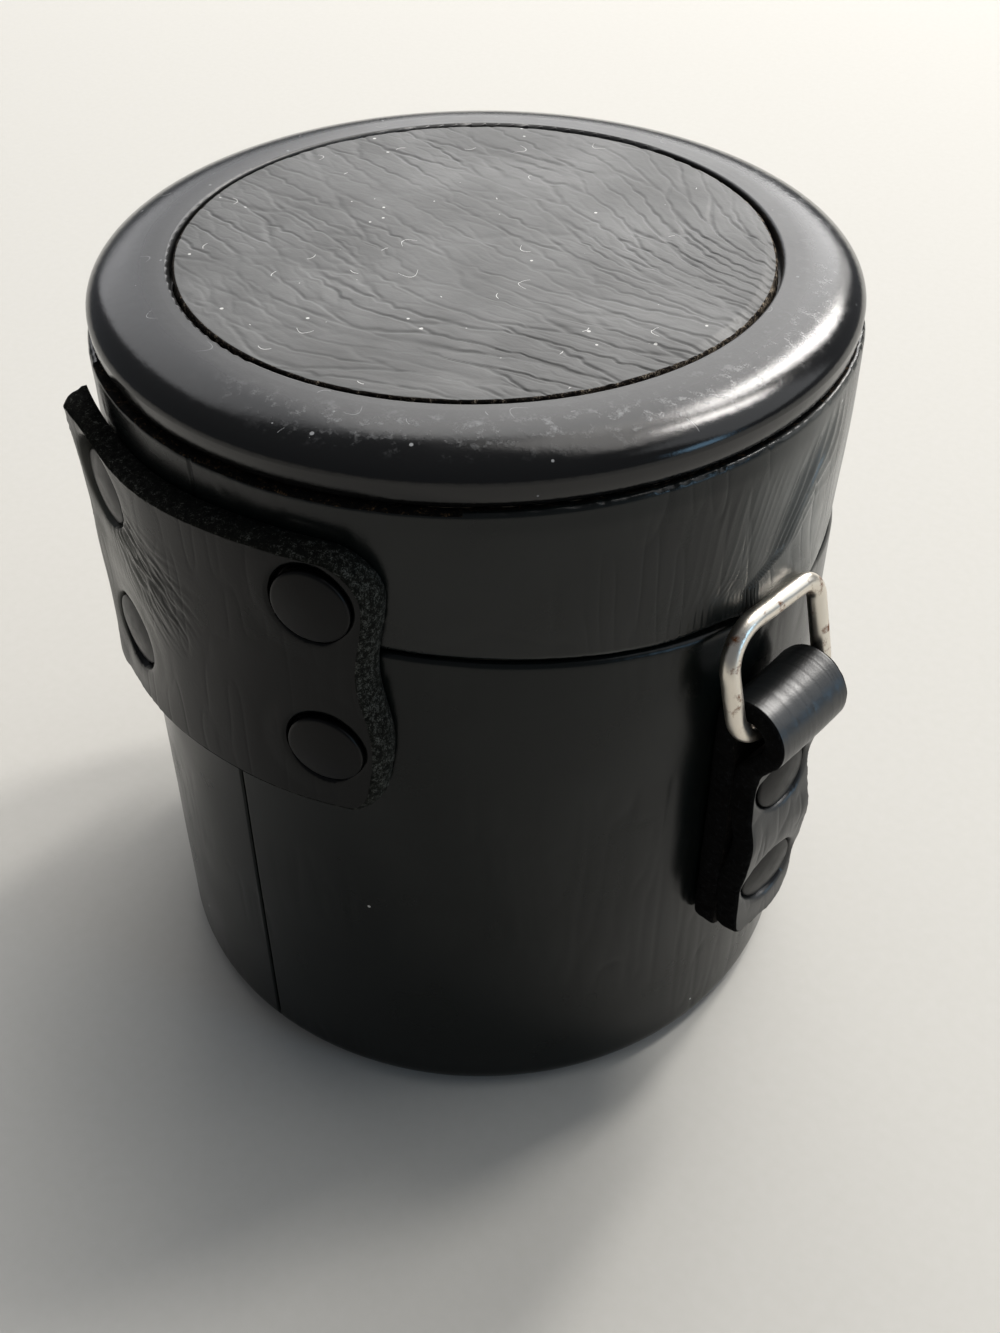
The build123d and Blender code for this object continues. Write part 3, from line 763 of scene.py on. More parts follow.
def wall_crinkles(angle, height, radius, seed):
    """Depth of the fine upright crinkles and the slow swellings of glued leather."""
    girth = 2 * pi * radius
    turn = angle / (2 * pi)
    fine_cells, broad_cells, slow_cells = [int(girth / width) for width in (1.3, 3.4, 11.0)]
    bend = soft_field(turn * slow_cells, height / 14.0, seed + 1, slow_cells)
    fine = crease_lines(turn * fine_cells + bend, height / 9.0, seed + 2, fine_cells + 1)
    broad = crease_lines(turn * broad_cells, height / 16.0 + bend, seed + 3, broad_cells)
    patch = rise(soft_field(turn * slow_cells, height / 10.0, seed + 4, slow_cells), 0.35, 0.75)
    return -0.035 * fine * patch - 0.05 * broad * patch + 0.12 * (bend - 0.5)


def body_profile():
    """The wrap's loop as reach and height, from under the base round to its own back."""
    corner_reach, corner_height = body_radius - lower_corner, base_height + lower_corner
    inner_corner = lower_corner - wrap_thick
    inner_reach, base_back = board_radius - inner_corner, base_height + wrap_thick
    under_edge, neck_edge, turned_in = base_radius + 0.15, neck_radius + 0.06, seam_height - 0.05
    rim_height = seam_height - rim_round
    return np.concatenate([
        line((under_edge, base_height), (corner_reach, base_height), 5),
        arc((corner_reach, corner_height), lower_corner, -90, 0, 14)[:-1],
        line((body_radius, corner_height), (body_radius, rim_height), 140),
        arc((body_radius - rim_round, rim_height), rim_round, 0, 90, 9),
        line((board_radius - 0.2, seam_height), (neck_edge, seam_height), 6),
        line((neck_edge, turned_in), (board_radius, turned_in), 6),
        line((board_radius, seam_height - 0.4), (board_radius, corner_height), 12),
        arc((inner_reach, corner_height), inner_corner, 0, -90, 8),
        line((inner_reach - 0.3, base_back), (under_edge, base_back), 3),
    ])


profile = body_profile()
reach, height = profile[:, :1], profile[:, 1:]
share = rise(height, base_height + 4, seam_height)
outer_share = rise(reach, board_radius, board_radius + rim_blend)
rim_shift = seam_slope * reach * np.sin(around_wall) * share
rim_shift = rim_shift + wander(around_wall) * share * outer_share
on_wall = (reach > body_radius - rim_round) & (height > base_height + 0.4)
depth = wall_crinkles(around_wall, height, body_radius, 11) - 0.5 * butt_joint(around_wall, body_radius)
depth = depth * on_wall * rise(height, base_height + 0.3, base_height + 3.0)
wrap_points = round_points(reach + depth, around_wall + 0 * reach, height + rim_shift)
make_piece(
    "body_wrap", wrap_points, quads(len(profile), around_wall.size, True, True), [wrap_leather], "case",
    ["body_leather"],
)

# %% [markdown]
# The lid's band is the same leather. Its top edge was left raw and shows under the moulded
# ring as a thin ragged line with tan spots, and its lower edge is turned in. Beside the wire
# ring the leather has slipped on its board and gathered in steep folds. They start upright
# under the ring, run down towards the camera and gather near the lower edge. So the pattern
# is drawn as upright ridges, and the wall's angles are sheared before it is laid on them.

# %% Leather band round the lid
band_thick = band_radius - lid_board_radius
top_round = 0.55
fold_middle = ring_side + radians(8.5)
fold_spacing = 2.2
fold_height, faint_height, fine_depth = 0.56, 0.020, 0.04
bulge_height, lip_height = 0.60, 0.55
pressed_depth = 0.45
edge_fray = 0.12


def band_folds(angle, height):
    """The gathered folds beside the wire ring, as a height above the wall."""
    off = np.degrees(around(angle, fold_middle))
    low = np.clip(band_top - height, 0, 20)
    pull = hump(off, np.where(off < 0, 14.0, 10.0))
    straight = off + pull * np.minimum(1.25 * low + 2.2 * np.maximum(low - 12.3, 0) ** 2, 40)
    sway = soft_field(straight / 9.0 + 40, low / 8.0 + 10, 31)
    wave = np.cos(2 * pi * (straight / fold_spacing + 1.5 * sway))
    ridge = (0.5 + 0.5 * wave) ** 1.9 - 0.32
    strong = hump(straight - 8.5, 3.8) * rise(low, 0.5, 7.0)
    faint = hump(straight + 12.0, 13.0) * rise(low, 1.0, 5.0)
    fine = crease_lines(straight / 1.1 + 90 + sway, low / 9.0, 33, thin=4)
    size = 0.55 + 0.9 * soft_field(straight / 4.0 + 70, low / 6.0 + 50, 34)
    edge = seam_at(angle, band_radius)
    bulge = hump(around(angle, ring_side + radians(6)), radians(8)) * rise(height, edge + 7.0, edge)
    lip = hump(around(angle, ring_side + radians(5)), radians(6.5)) * rise(height, edge + 2.6, edge + 0.8)
    folds = (fold_height * strong + faint_height * faint) * ridge * size - fine_depth * fine * strong
    return folds + bulge_height * bulge + lip_height * lip


def lid_profile():
    """The band's loop from its raw top edge down, round the rim and up inside."""
    inner = lid_board_radius - band_thick - 0.3
    rim_height, turned_in = seam_height + rim_round, seam_height + 0.05
    return np.concatenate([
        line((lid_board_radius, band_top), (band_radius - top_round, band_top), 7),
        arc((band_radius - top_round, band_top - top_round), top_round, 90, 0, 7),
        line((band_radius, band_top - top_round - 0.1), (band_radius, rim_height), 96),
        arc((band_radius - rim_round, rim_height), rim_round, 0, -90, 9),
        line((lid_board_radius - 0.2, seam_height), (inner, seam_height), 5),
        line((inner, turned_in), (lid_board_radius, turned_in), 5),
        line((lid_board_radius, seam_height + 0.5), (lid_board_radius, band_top), 8),
    ])


around_band = wall_angles(620, (ring_side + radians(4), radians(34), 540))
profile = lid_profile()
reach, height = profile[:, :1], profile[:, 1:]
share = rise(height, band_top - 0.3, seam_height)
outer_share = rise(reach, lid_board_radius, lid_board_radius + rim_blend)
lift = seam_gap + lift_beside_ring * beside(around_band, ring_side - radians(7), 13, 0)
edge_shift = (wander(around_band) + lift) * share * outer_share + 0.07 * share
flat_height = height + seam_slope * reach * np.sin(around_band) * share
on_wall = (reach > band_radius - rim_round) & (height < band_top - 0.1)
depth = wall_crinkles(around_band, height, band_radius, 51) - 0.2 * butt_joint(around_band, band_radius)
depth = depth + band_folds(around_band, flat_height)
# Past the wire ring the lid's lower edge has been pressed in until it is level with the body
pressed = beside(around_band, ring_side + radians(36), 24, 8)
depth = depth - pressed_depth * pressed * rise(height, band_top - 6, seam_height)
ragged = edge_fray * (soft_field(around_band * 60, 0 * height, 57, 377) - 0.5)
ragged = ragged * (height > band_top - 0.25)
# The top lip leans in on the side that faces the camera, which bares more of the ring's ledge
lean_in = 0.20 * beside(around_band, camera_side + radians(25), 60, 10)
lean_in = lean_in * rise(height, band_top - 2.5, band_top) * (reach > lid_board_radius + 0.3)
band_reach = reach + (depth * on_wall - lean_in) + ragged
band_points = round_points(band_reach, around_band + 0 * reach, flat_height + edge_shift + ragged)
faces = quads(len(profile), around_band.size, True, True)
row, column = faces[:, 0] // around_band.size, faces[:, 0] % around_band.size
bare_side = np.abs(around(around_band[0, column], hinge_side + radians(4))) < radians(34)
kinds = ((row < 7) | (bare_side & (row < 11))).astype(int)
make_piece(
    "lid_band", band_points, faces, [band_leather, wrap_edge], "lid",
    ["lid_leather_band"], kinds,
)

# %% [markdown]
# Discs, straps and tabs are all cut from a sheet. The grid starts as a square of loops round
# its middle; each loop is pulled onto a smaller copy of the cut outline, so the quads stay
# even and the corners come out round. Extra loops at the rim make the cut edge, from the
# face down to the back, and those get the raw material.

# %% A piece cut from a sheet


def outline_point(u, v, half_length, half_width, rounds):
    """Moves a point on the edge of a square to a rectangle with round corners. Rounds are the
    corners' radii: (+u +v), (-u +v), (-u -v) and (+u -v)."""
    x, y = u * half_length, v * half_width
    upper, lower = np.where(u > 0, rounds[0], rounds[1]), np.where(u > 0, rounds[3], rounds[2])
    corner = np.where(v > 0, upper, lower)
    cx = np.sign(x) * np.maximum(np.abs(x) - (half_length - corner), 0)
    cy = np.sign(y) * np.maximum(np.abs(y) - (half_width - corner), 0)
    in_corner = (np.abs(cx) > 0) & (np.abs(cy) > 0)
    scale = np.where(in_corner, corner / np.maximum(np.hypot(cx, cy), 1e-9), 1.0)
    return np.where(in_corner, x - cx + cx * scale, x), np.where(in_corner, y - cy + cy * scale, y)


def cut_sheet(half_length, half_width, rounds, thickness, edge, columns, rows, plain_back=False):
    """Flat x and y, and the height above the back, of a sheet's points, with its faces, their
    kinds, and the last face if the back is plain. Edge lists (inset, share of thickness)
    from the face down to the back."""
    u, v = np.meshgrid(np.linspace(-1, 1, columns), np.linspace(-1, 1, rows), indexing="ij")
    level = np.maximum(np.maximum(np.abs(u), np.abs(v)), 1e-9)
    number = np.arange(columns * rows).reshape(columns, rows)
    rim = np.concatenate([number[:-1, 0], number[-1, :-1], number[:0:-1, -1], number[0, :0:-1]])
    face = quads(columns, rows)
    points, loops = [], []
    for step, (inset, part) in enumerate(edge):
        inner = [max(corner - inset, 0.3) for corner in rounds]
        x, y = outline_point(u / level, v / level, half_length - inset, half_width - inset, inner)
        layer = np.stack([x * level, y * level, np.full(x.shape, thickness * part)], -1).reshape(-1, 3)
        whole = step == 0 or (step == len(edge) - 1 and not plain_back)
        start = sum(map(len, points))
        loops.append(start + (rim if whole else np.arange(len(rim))))
        points.append(layer if whole else layer[rim])
    faces, kinds = [face], [np.full(len(face), 0)]
    for a, b in zip(loops[:-1], loops[1:]):
        faces.append(np.stack([a, np.roll(a, -1), np.roll(b, -1), b], -1))
        kinds.append(np.full(len(a), 1))
    if not plain_back:
        faces.append(face + start)
        kinds.append(np.full(len(face), 2))
    x, y, z = np.concatenate(points).T
    return x, y, z, np.concatenate(faces), np.concatenate(kinds), loops[-1] if plain_back else ()


print("sheet cutter ready")

# %% [markdown]
# The disc on the lid is the same calf, older and drier. Its creases all run one way, down to
# the right as the camera sees them, and join up, so they are drawn as the borders of long thin
# cells: a coarse set and a finer one. On the right the creases bend and crowd together. The
# disc was pressed into its recess a little off centre, so the groove round it is open on one
# side, and on the opposite one its cut edge is rubbed pale.

# %% The leather disc on the lid
disc_low, disc_high = corners("lid_top_disc")
disc_radius = disc_high.x + 0.45
disc_thick = case_top - disc_low.z - 0.10
disc_stand = 0.02
crease_turn = radians(49)
crease_run = seen_from_camera(cos(crease_turn), -sin(crease_turn), 0)
crease_side = seen_from_camera(sin(crease_turn), cos(crease_turn), 0)
disc_shift = seen_from_camera(-0.08, 0.12, 0)
disc_rim = [(0.34, 1.0), (0.22, 0.97), (0.12, 0.88), (0.06, 0.68), (0.03, 0.4), (0.0, 0.15), (0.05, 0.0)]


def disc_creases(x, y):
    """Depth of the creases on the disc, in its own plane."""
    along = x * crease_run.x + y * crease_run.y
    across = x * crease_side.x + y * crease_side.y
    fanned = 0.022 * np.maximum(along, -4) * np.maximum(across - 5, 0)
    across = across - 0.0054 * np.maximum(along, 0) ** 2 + fanned
    across = across + 0.8 * (soft_field(along / 12 + 70, across / 12 + 70, 61) - 0.5)
    kinked = across + 0.55 * (soft_field(along / 1.0 + 70, across / 1.6 + 70, 68) - 0.5)
    close = rise(along, 2, 22)
    squeeze = 1 + 0.3 * close
    long_ones = border_lines(along / 13 + 40, kinked * squeeze / 2.7 + 90, 62, 0.055)
    short_ones = border_lines(along / 5 + 40, kinked * squeeze / 1.5 + 90, 63, 0.08)
    fine = border_lines(along / 2.0 + 90, (across + 0.4 * kinked) / 0.8 + 90, 64, 0.14)
    swell = soft_field(along / 9 + 30, kinked / 1.6 + 90, 65)
    swell = swell + 0.6 * soft_field(along / 4 + 30, kinked / 0.9 + 90, 69)
    patch = 0.3 + 0.9 * soft_field(along / 11 + 20, across / 8 + 20, 66)
    patch_short = 0.2 + 1.0 * soft_field(along / 8 + 50, across / 6 + 20, 67)
    deep = 0.10 * (1 + 0.4 * close)
    return 0.03 * swell - deep * long_ones * patch - 0.028 * short_ones * patch_short - 0.006 * fine


x, y, z, faces, kinds, last = cut_sheet(
    disc_radius, disc_radius, [disc_radius] * 4, disc_thick, disc_rim, 381, 381, plain_back=True
)
from_middle = np.hypot(x, y)
face_share = rise(z, disc_thick * 0.85, disc_thick)
worn = rise((x * worn_side.x + y * worn_side.y) / np.maximum(from_middle, 0.1), 0.80, 0.97)
drooped = 0.05 * rise(from_middle, disc_radius - 2.0, disc_radius)
z = z + (disc_creases(x, y) - 0.02 - drooped) * face_share
rubbed_off = 0.26 * worn * rise(from_middle, disc_radius - 1.5, disc_radius - 0.35)
z = z - rubbed_off * (z > 0.3 * disc_thick)
rough = (soft_field(np.arctan2(y, x) * 60 + 300, z / 0.3, 67) - 0.5) * 0.25
scale = 1 + rough * (1 - face_share) * (z > 0.1) / disc_radius
points = np.stack([x * scale + disc_shift.x, y * scale + disc_shift.y, z + disc_low.z + disc_stand], -1)
make_piece(
    "lid_disc", points, faces, [disc_leather, disc_edge, flesh_side], "lid",
    ["lid_top_disc"], kinds, last,
)

# %% [markdown]
# The hinge is one thick piece of harness leather, riveted at its four corners and bent round
# the case. The caps were set hard, so each sits in a hole in the leather, with a dark gap and
# a raised lip round it. On the far side they went in deepest: the leather is pinched there,
# its corner has curled off the lid, and crinkles fan out from the upper cap. The strap crosses
# the joint: on the case it bends only between the rivets, and here it is one still mesh,
# attached to neither lid nor body.

# %% Hinge strap
strap_low = corners("hinge_strap_lower")[0].z
strap_high = corners("hinge_strap_upper")[1].z
strap_face = corners("hinge_strap_upper")[1].y
strap_back = band_radius + 0.02
strap_thick = strap_face - strap_back
half_length = asin(corners("hinge_strap_upper")[1].x / strap_face) * strap_face
half_height = (strap_high - strap_low) / 2
strap_middle = (strap_low + strap_high) / 2
cap_radius = 3.8
bevel = [(0.70, 1.0), (0.52, 0.985), (0.36, 0.94), (0.22, 0.86), (0.10, 0.72), (0.03, 0.55)]
bevel += [(0.0, 0.38), (0.0, 0.2), (0.1, 0.0)]
strap_rounds = (4.6, 0.9, 2.0, 3.0)
near_stand, far_stand = 0.28, -0.72
fan_middle = (-22.0, 15.0)
wave_length, wave_depth = 17.0, 0.55


def cap_centres(node):
    """Angles and heights of a part's rivets, which are mirrored about the hinge side."""
    low, high = corners(node)
    spread = asin((high.x - cap_radius * cos(radians(20))) / (strap_face + 0.3))
    level = (low.z + high.z) / 2
    return [(hinge_side - spread, level), (hinge_side + spread, level)]


def rivet_dish(off, stand, lip):
    """What a cap does to leather, by the distance from its centre: a hole and a lip round it.
    Stand is how far the cap's rim stands out of the leather."""
    hole = (min(stand, 0) - 0.75) * rise(off, cap_radius + 0.42, cap_radius + 0.12)
    outer_slope = rise(off, cap_radius + 3.2, cap_radius + 1.0)
    return hole + lip * rise(off, cap_radius + 0.4, cap_radius + 0.8) * outer_slope


def felted(points, strength, size, seed):
    """A rough shift along x, y and z for the fibres of a cut edge."""
    x, y, z = (points / size + 300).T
    shifts = []
    for number in range(3):
        first = soft_field(x + 0.7 * z, y + 0.9 * z, seed + number)
        second = soft_field(2.1 * x + 1.7 * z, 2.1 * y - 1.3 * z + 400, seed + 5 + number)
        shifts.append(first + 0.6 * second - 0.8)
    return np.stack(shifts, -1) * strength


def strap_crinkles(u, v):
    """Depth of the crinkles, which fan out from beyond the upper far cap towards the camera."""
    from_cap = np.hypot(u - fan_middle[0], v - fan_middle[1])
    fan_angle = np.degrees(np.arctan2(v - fan_middle[1], u - fan_middle[0])) + 36.0
    sway = soft_field(from_cap / 6 + 20, fan_angle / 8 + 50, 75)
    fine_sway = soft_field(from_cap / 1.5 + 60, fan_angle / 3 + 60, 76)
    kinked = fan_angle + 5.0 * (sway - 0.5) + 1.2 * fine_sway
    fan = rise(from_cap, 10.0, 13.5) * rise(from_cap, 28.0, 19.0) * hump(fan_angle - 1.0, 11.0)
    long_ones = border_lines(from_cap / 7 + 60, kinked / 4.0 + 60, 77, 0.13)
    short_ones = border_lines(from_cap / 4 + 80, kinked / 2.2 + 80, 71, 0.13)
    upright = crease_lines(u / 1.5 + 80, v / 6.0 + 80, 72, thin=5)
    return 0.14 * fan * long_ones + 0.08 * fan * short_ones + 0.022 * upright


upper_caps, lower_caps = cap_centres("hinge_rivets_upper"), cap_centres("hinge_rivets_lower")
# The lower far rivet was driven a little nearer to the hinge's middle than its fellows
lower_caps[0] = (lower_caps[0][0] + radians(1.4), lower_caps[0][1])
u, v, w, faces, kinds, _ = cut_sheet(half_length, half_height, strap_rounds, strap_thick, bevel, 400, 170)
face_share = rise(w, 0.45 * strap_thick, strap_thick)
body_share = w / strap_thick
surface = 0.30 * (soft_field(u / 12 + 50, v / 10 + 50, 73) - 0.5) - strap_crinkles(u, v)
for cap_angle, cap_level in upper_caps + lower_caps:
    cap_u, cap_v = (cap_angle - hinge_side) * strap_face, cap_level - strap_middle
    off = np.hypot(u - cap_u, v - cap_v)
    far = cap_u < 0
    # The far caps pull a wide hollow into the leather, the near ones a shallow one
    hollow, wide = (-0.75 if cap_v > 0 else -0.85, 5.8) if far else (-0.22, 6.5)
    surface += rivet_dish(off, far_stand if far else near_stand, 0.10) + hollow * hump(off, wide)
curl = rise(u, 10 - half_length, -half_length) * rise(v, half_height - 12, half_height)
reach = strap_back + w + surface * face_share + curl * (0.85 - 0.25 * body_share)
reach = reach + 0.35 * rise(u, 4 - half_length, -half_length) * face_share
# The near end is cut on a slant, and its edge waves in and out between the caps
near_end = rise(u, half_length - 6, half_length)
waves = wave_depth * np.cos(2 * pi * (v - 2.1) / wave_length)
u = u - (0.95 * body_share**2 + waves) * near_end - 2.0 * curl * (1 - body_share)
v = v + 0.30 * np.sin(u / 6.0) * rise(v, half_height - 6, half_height) + 1.9 * curl
rough_cut = 0.3 + 0.7 * np.maximum(rise(v, half_height - 3, half_height - 1), near_end)
on_cut = (w > 0.15) & (w < strap_thick * 0.995)
fuzz = felted(np.stack([u, v, 1.7 * w], -1), 0.16, 0.5, 74) * (rough_cut * on_cut)[:, None]
turn = hinge_side + (u + fuzz[:, 0]) / strap_face
strap_points = round_points(reach + fuzz[:, 2], turn, strap_middle + v + fuzz[:, 1])
hinge_strap = make_piece(
    "hinge_strap", strap_points, faces, [strap_leather, strap_edge, flesh_side], None,
    ["hinge_strap_upper", "hinge_strap_lower"], kinds,
)
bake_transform(hinge_strap)

# %% [markdown]
# A cap rivet's head is a thin steel disc, slightly domed and turned down at its rim. The
# engineering model seats all of them alike. On the case they went in to different depths and
# none sits quite square: the near ones stand proud, with a dark upright rim, and the far ones
# have sunk. So the heads are made again here, each with its own depth and tilt.

# %% Rivet caps
cap_dome = 0.38
dome_radius = 3.55
dome_steps = np.array([0.0, 0.6, 1.2, 1.8, 2.3, 2.8, 3.2, 3.46])
rolled_rim = [(3.58, -0.01), (3.69, -0.06), (3.77, -0.15), (3.8, -0.27), (3.8, -0.8), (1.6, -0.85)]
rolled_rim += [(0.0, -0.85)]


def rivet_caps(name, places, body, node):
    """The heads of one part's rivets. Each place is a face centre, its outward direction, how
    far the rim stands out, and the tilt to the right and upwards, in degrees."""
    sides = 64
    ball = (dome_radius**2 + cap_dome**2) / (2 * cap_dome)
    dome = np.sqrt(ball**2 - dome_steps**2) - (ball - cap_dome)
    profile = np.concatenate([np.stack([dome_steps, dome], -1), rolled_rim])
    turn = np.linspace(0, 2 * pi, sides, endpoint=False)
    right, up = profile[:, :1] * np.cos(turn), profile[:, :1] * np.sin(turn)
    points, faces = [], []
    for number, (centre, outward, stand, tilt) in enumerate(places):
        across = np.cross([0, 0, 1], outward)
        uneven = 0.03 * (soft_field(right / 2.2 + 50, up / 2.2 + 50, 120 + number) - 0.5)
        tipped = radians(tilt[0]) * right + radians(tilt[1]) * up
        lift = profile[:, 1:] + stand + uneven + tipped
        head = centre + lift[..., None] * outward + right[..., None] * across
        points.append((head + up[..., None] * at_height(1.0)).reshape(-1, 3))
        faces.append(quads(len(profile), sides, False, True) + number * len(profile) * sides)
    points, faces = np.concatenate(points), np.concatenate(faces)
    make_piece(name, points, faces, [rivet_lacquer], body, [node], weld=True)


def hinge_places(spots, tilts):
    """Where the heads of the hinge strap's rivets sit."""
    places = []
    for (angle, level), stand, tilt in zip(spots, (far_stand, near_stand), tilts):
        outward = outward_at(angle)
        places.append((outward * strap_face + at_height(level), outward, stand, tilt))
    return places


upper_tilts, lower_tilts = [(-1.5, 2), (1.2, 0.8)], [(-2.5, 1), (1.0, 1.5)]
rivet_caps("rivet_caps_hinge_upper", hinge_places(upper_caps, upper_tilts), "lid", "hinge_rivets_upper")
rivet_caps("rivet_caps_hinge_lower", hinge_places(lower_caps, lower_tilts), "case", "hinge_rivets_lower")

# %% [markdown]
# Each wire ring hangs in a strip of the same leather, folded over the wire and riveted down
# twice. The fold is a round, tight roll; below it the outer layer is pinched onto the inner
# one by the first cap, pillows out and is pinched again. Bending a flat strip along a drawn
# line keeps its thickness true all the way, where sculpting the fold from a lump would not.

# %% Folded tabs for the wire rings
tab_width = 10.0
tab_leather = 2.7
roll_leather = 2.2
wire_play = 1.9
tab_stand = -0.12
wall_gap, fold_gap = 0.1, 0.08
tab_rim = [(0.40, 1.0), (0.24, 0.97), (0.10, 0.88), (0.02, 0.72), (0.0, 0.5), (0.0, 0.25), (0.1, 0.06)]
tab_rim += [(0.3, 0.0)]
tip_rounds = (4.4, 1.4, 1.4, 1.4)
# The outer layer below the roll, as distance past its flat place and depth below the wire
pillow = [(0.35, 5.2), (-0.15, 8.2), (0.15, 11.5), (0.95, 15.4), (0.45, 19.2), (-0.05, 22.3), (0.05, 26)]


def smooth_path(marks, steps):
    """A smooth line through a few marks, sampled evenly along its length."""
    marks = np.array(marks, float)
    ends = np.concatenate([[2 * marks[0] - marks[1]], marks, [2 * marks[-1] - marks[-2]]])
    t = np.linspace(0, 1, 24, endpoint=False)[:, None]
    spans = []
    for a, b, c, d in zip(ends[:-3], ends[1:-2], ends[2:-1], ends[3:]):
        square, cube = 2 * a - 5 * b + 4 * c - d, 3 * b - a - 3 * c + d
        spans.append(0.5 * (2 * b + (c - a) * t + square * t**2 + cube * t**3))
    return evenly(np.concatenate([*spans, marks[-1:]]), steps)


def tab_path(axle_reach, axle_height, low_inner, low_outer):
    """The middle of the strip: up the wall, round the wire and down the outside."""
    wall = body_radius + tab_leather / 2 + wall_gap
    outer = wall + tab_leather + fold_gap
    roll = arc((axle_reach, axle_height), wire_play + roll_leather / 2, 165, -46, 15)
    marks = [(wall, low_inner), (wall, low_inner + 9), (wall, axle_height - 9)]
    marks += [(wall - 0.1, axle_height - 3.2)]
    marks += [tuple(spot) for spot in roll]
    marks += [(outer + past, axle_height - down) for past, down in pillow] + [(outer + 0.40, low_outer)]
    return smooth_path(marks, 400)


def sampled(rows, place):
    """Rows of a table at places between whole row numbers."""
    return np.stack([np.interp(place, np.arange(len(rows)), rows[:, i]) for i in range(2)], -1)


def ring_tab(side, seed):
    """One folded tab, from its strip of leather. Its width is counted away from the hinge."""
    pivot, low = pivot_of(f"ring_swing_{side}"), corners(f"ring_tab_{side}")[0]
    axle_reach, facing = hypot(pivot.x, pivot.y), atan2(pivot.y, pivot.x)
    outward = outward_at(facing)
    away_from_hinge = np.array([-outward[1], outward[0]]) * -np.sign(outward[0])
    path, length = tab_path(axle_reach, pivot.z, low.z + 0.1, low.z + 1.1)
    u, v, w, faces, kinds, _ = cut_sheet(length / 2, tab_width / 2, tip_rounds, 1.0, tab_rim, 440, 76)
    place = np.clip((u / length + 0.5) * (len(path) - 1), 0, len(path) - 1)
    spot, slope = sampled(path, place), sampled(np.gradient(path, axis=0), place)
    slope /= np.linalg.norm(slope, axis=1, keepdims=True)
    grain_side = np.stack([-slope[:, 1], slope[:, 0]], -1)
    rolled = rise(np.hypot(spot[:, 0] - axle_reach, spot[:, 1] - pivot.z), 5.5, 3.6)
    thick = tab_leather + (roll_leather - tab_leather) * rolled
    outside = u > length * 0.12
    caps_low, caps_high = corners(f"ring_tab_rivets_{side}")
    cap_levels = (caps_low.z + cap_radius, caps_high.z - cap_radius)
    surface = np.zeros_like(u)
    for level in cap_levels:
        off = np.hypot(spot[:, 1] - level, v)
        surface += (rivet_dish(off, tab_stand, 0.16) - 0.18 * hump(off, 5.5)) * outside
    # The strip is stretched wider in the roll, and drawn in by the upper cap and at its tip
    wide = 1 + 0.05 * rolled - 0.05 * rise(np.abs(spot[:, 1] - cap_levels[1]), 4, 0) * outside
    wide = wide - 0.10 * rise(u, length * 0.33, length * 0.5) * (v > 0)
    grain_lines = crease_lines(u / 5.0 + 60, v / 0.9 + 60, seed, thin=4)
    bend_lines = crease_lines(u / 7.0 + 60, v / 0.38 + 60, seed + 1, thin=3)
    pinch_lines = crease_lines(u / 4.0 + 0.25 * v + 60, v / 1.0 + 60, seed + 3, thin=3)
    flank = outside * rise(np.abs(spot[:, 1] - caps_low.z - 10.8), 4.5, 1.0)
    surface -= 0.03 * grain_lines * (1 - rolled) + 0.022 * bend_lines * rolled
    surface -= 0.10 * pinch_lines * flank
    on_cut = (w > 0.03) & (w < 0.99)
    fuzz = felted(np.stack([u, v, 3.5 * w], -1), 0.13, 0.5, seed + 2)
    fuzz *= (on_cut * (1 - 0.6 * rolled))[:, None]
    lean = (w - 0.5) * thick + surface * rise(w, 0.5, 1.0) + 0.5 * fuzz[:, 2]
    across = v * wide + fuzz[:, 1]
    bent = spot + grain_side * lean[:, None] + slope * fuzz[:, :1] * 0.7
    # The strip was folded a little askew, so the roll is higher on the side away from the hinge
    bent[:, 1] += (0.135 * v + 0.009 * v**2) * rise(spot[:, 1], pivot.z - 9, pivot.z)
    flat = bent[:, :1] * outward[:2] + across[:, None] * away_from_hinge
    tab_face = (body_radius + wall_gap + 2 * tab_leather + fold_gap) * outward
    heads = []
    for level, tilt in zip(cap_levels, [(1, 2), (-2, -3)]):
        heads.append((tab_face + at_height(level), outward, tab_stand, tilt))
    rivet_caps(f"rivet_caps_tab_{side}", heads, "case", f"ring_tab_rivets_{side}")
    make_piece(
        f"folded_tab_{side}", np.concatenate([flat, bent[:, 1:]], -1), faces,
        [tab_face_leather, painted_shade_tab_edge, flesh_side], "case", [f"ring_tab_{side}"], kinds,
    )


ring_tab("left", 81)
ring_tab("right", 91)

# %% [markdown]
# The rings are bent from round wire, so no two corners are alike. The ring is a tube that
# follows a rounded rectangle, standing in the fold and leaning on the lid, and turned by a
# degree in its own plane as it hangs loose.

# %% Wire rings
wire_radius = 1.0
ring_half_width = 6.8
ring_span = 12.0
ring_clearance = 0.3
ring_turn = radians(1)


def rounded_loop(half_width, height, corner_radii, steps):
    """A closed line of straight runs and corner arcs, from the middle of the lower bar."""
    parts = []
    spots = [(half_width, 0), (half_width, height), (-half_width, height), (-half_width, 0)]
    for number, ((x, y), radius) in enumerate(zip(spots, corner_radii)):
        start = -90 + 90 * number
        centre = (x - np.sign(x) * radius, y + (radius if y == 0 else -radius))
        parts.append(arc(centre, radius, start, start + 90, 16))
    return evenly(np.concatenate([*parts, parts[0][:1]]), steps, closed=True)[0]


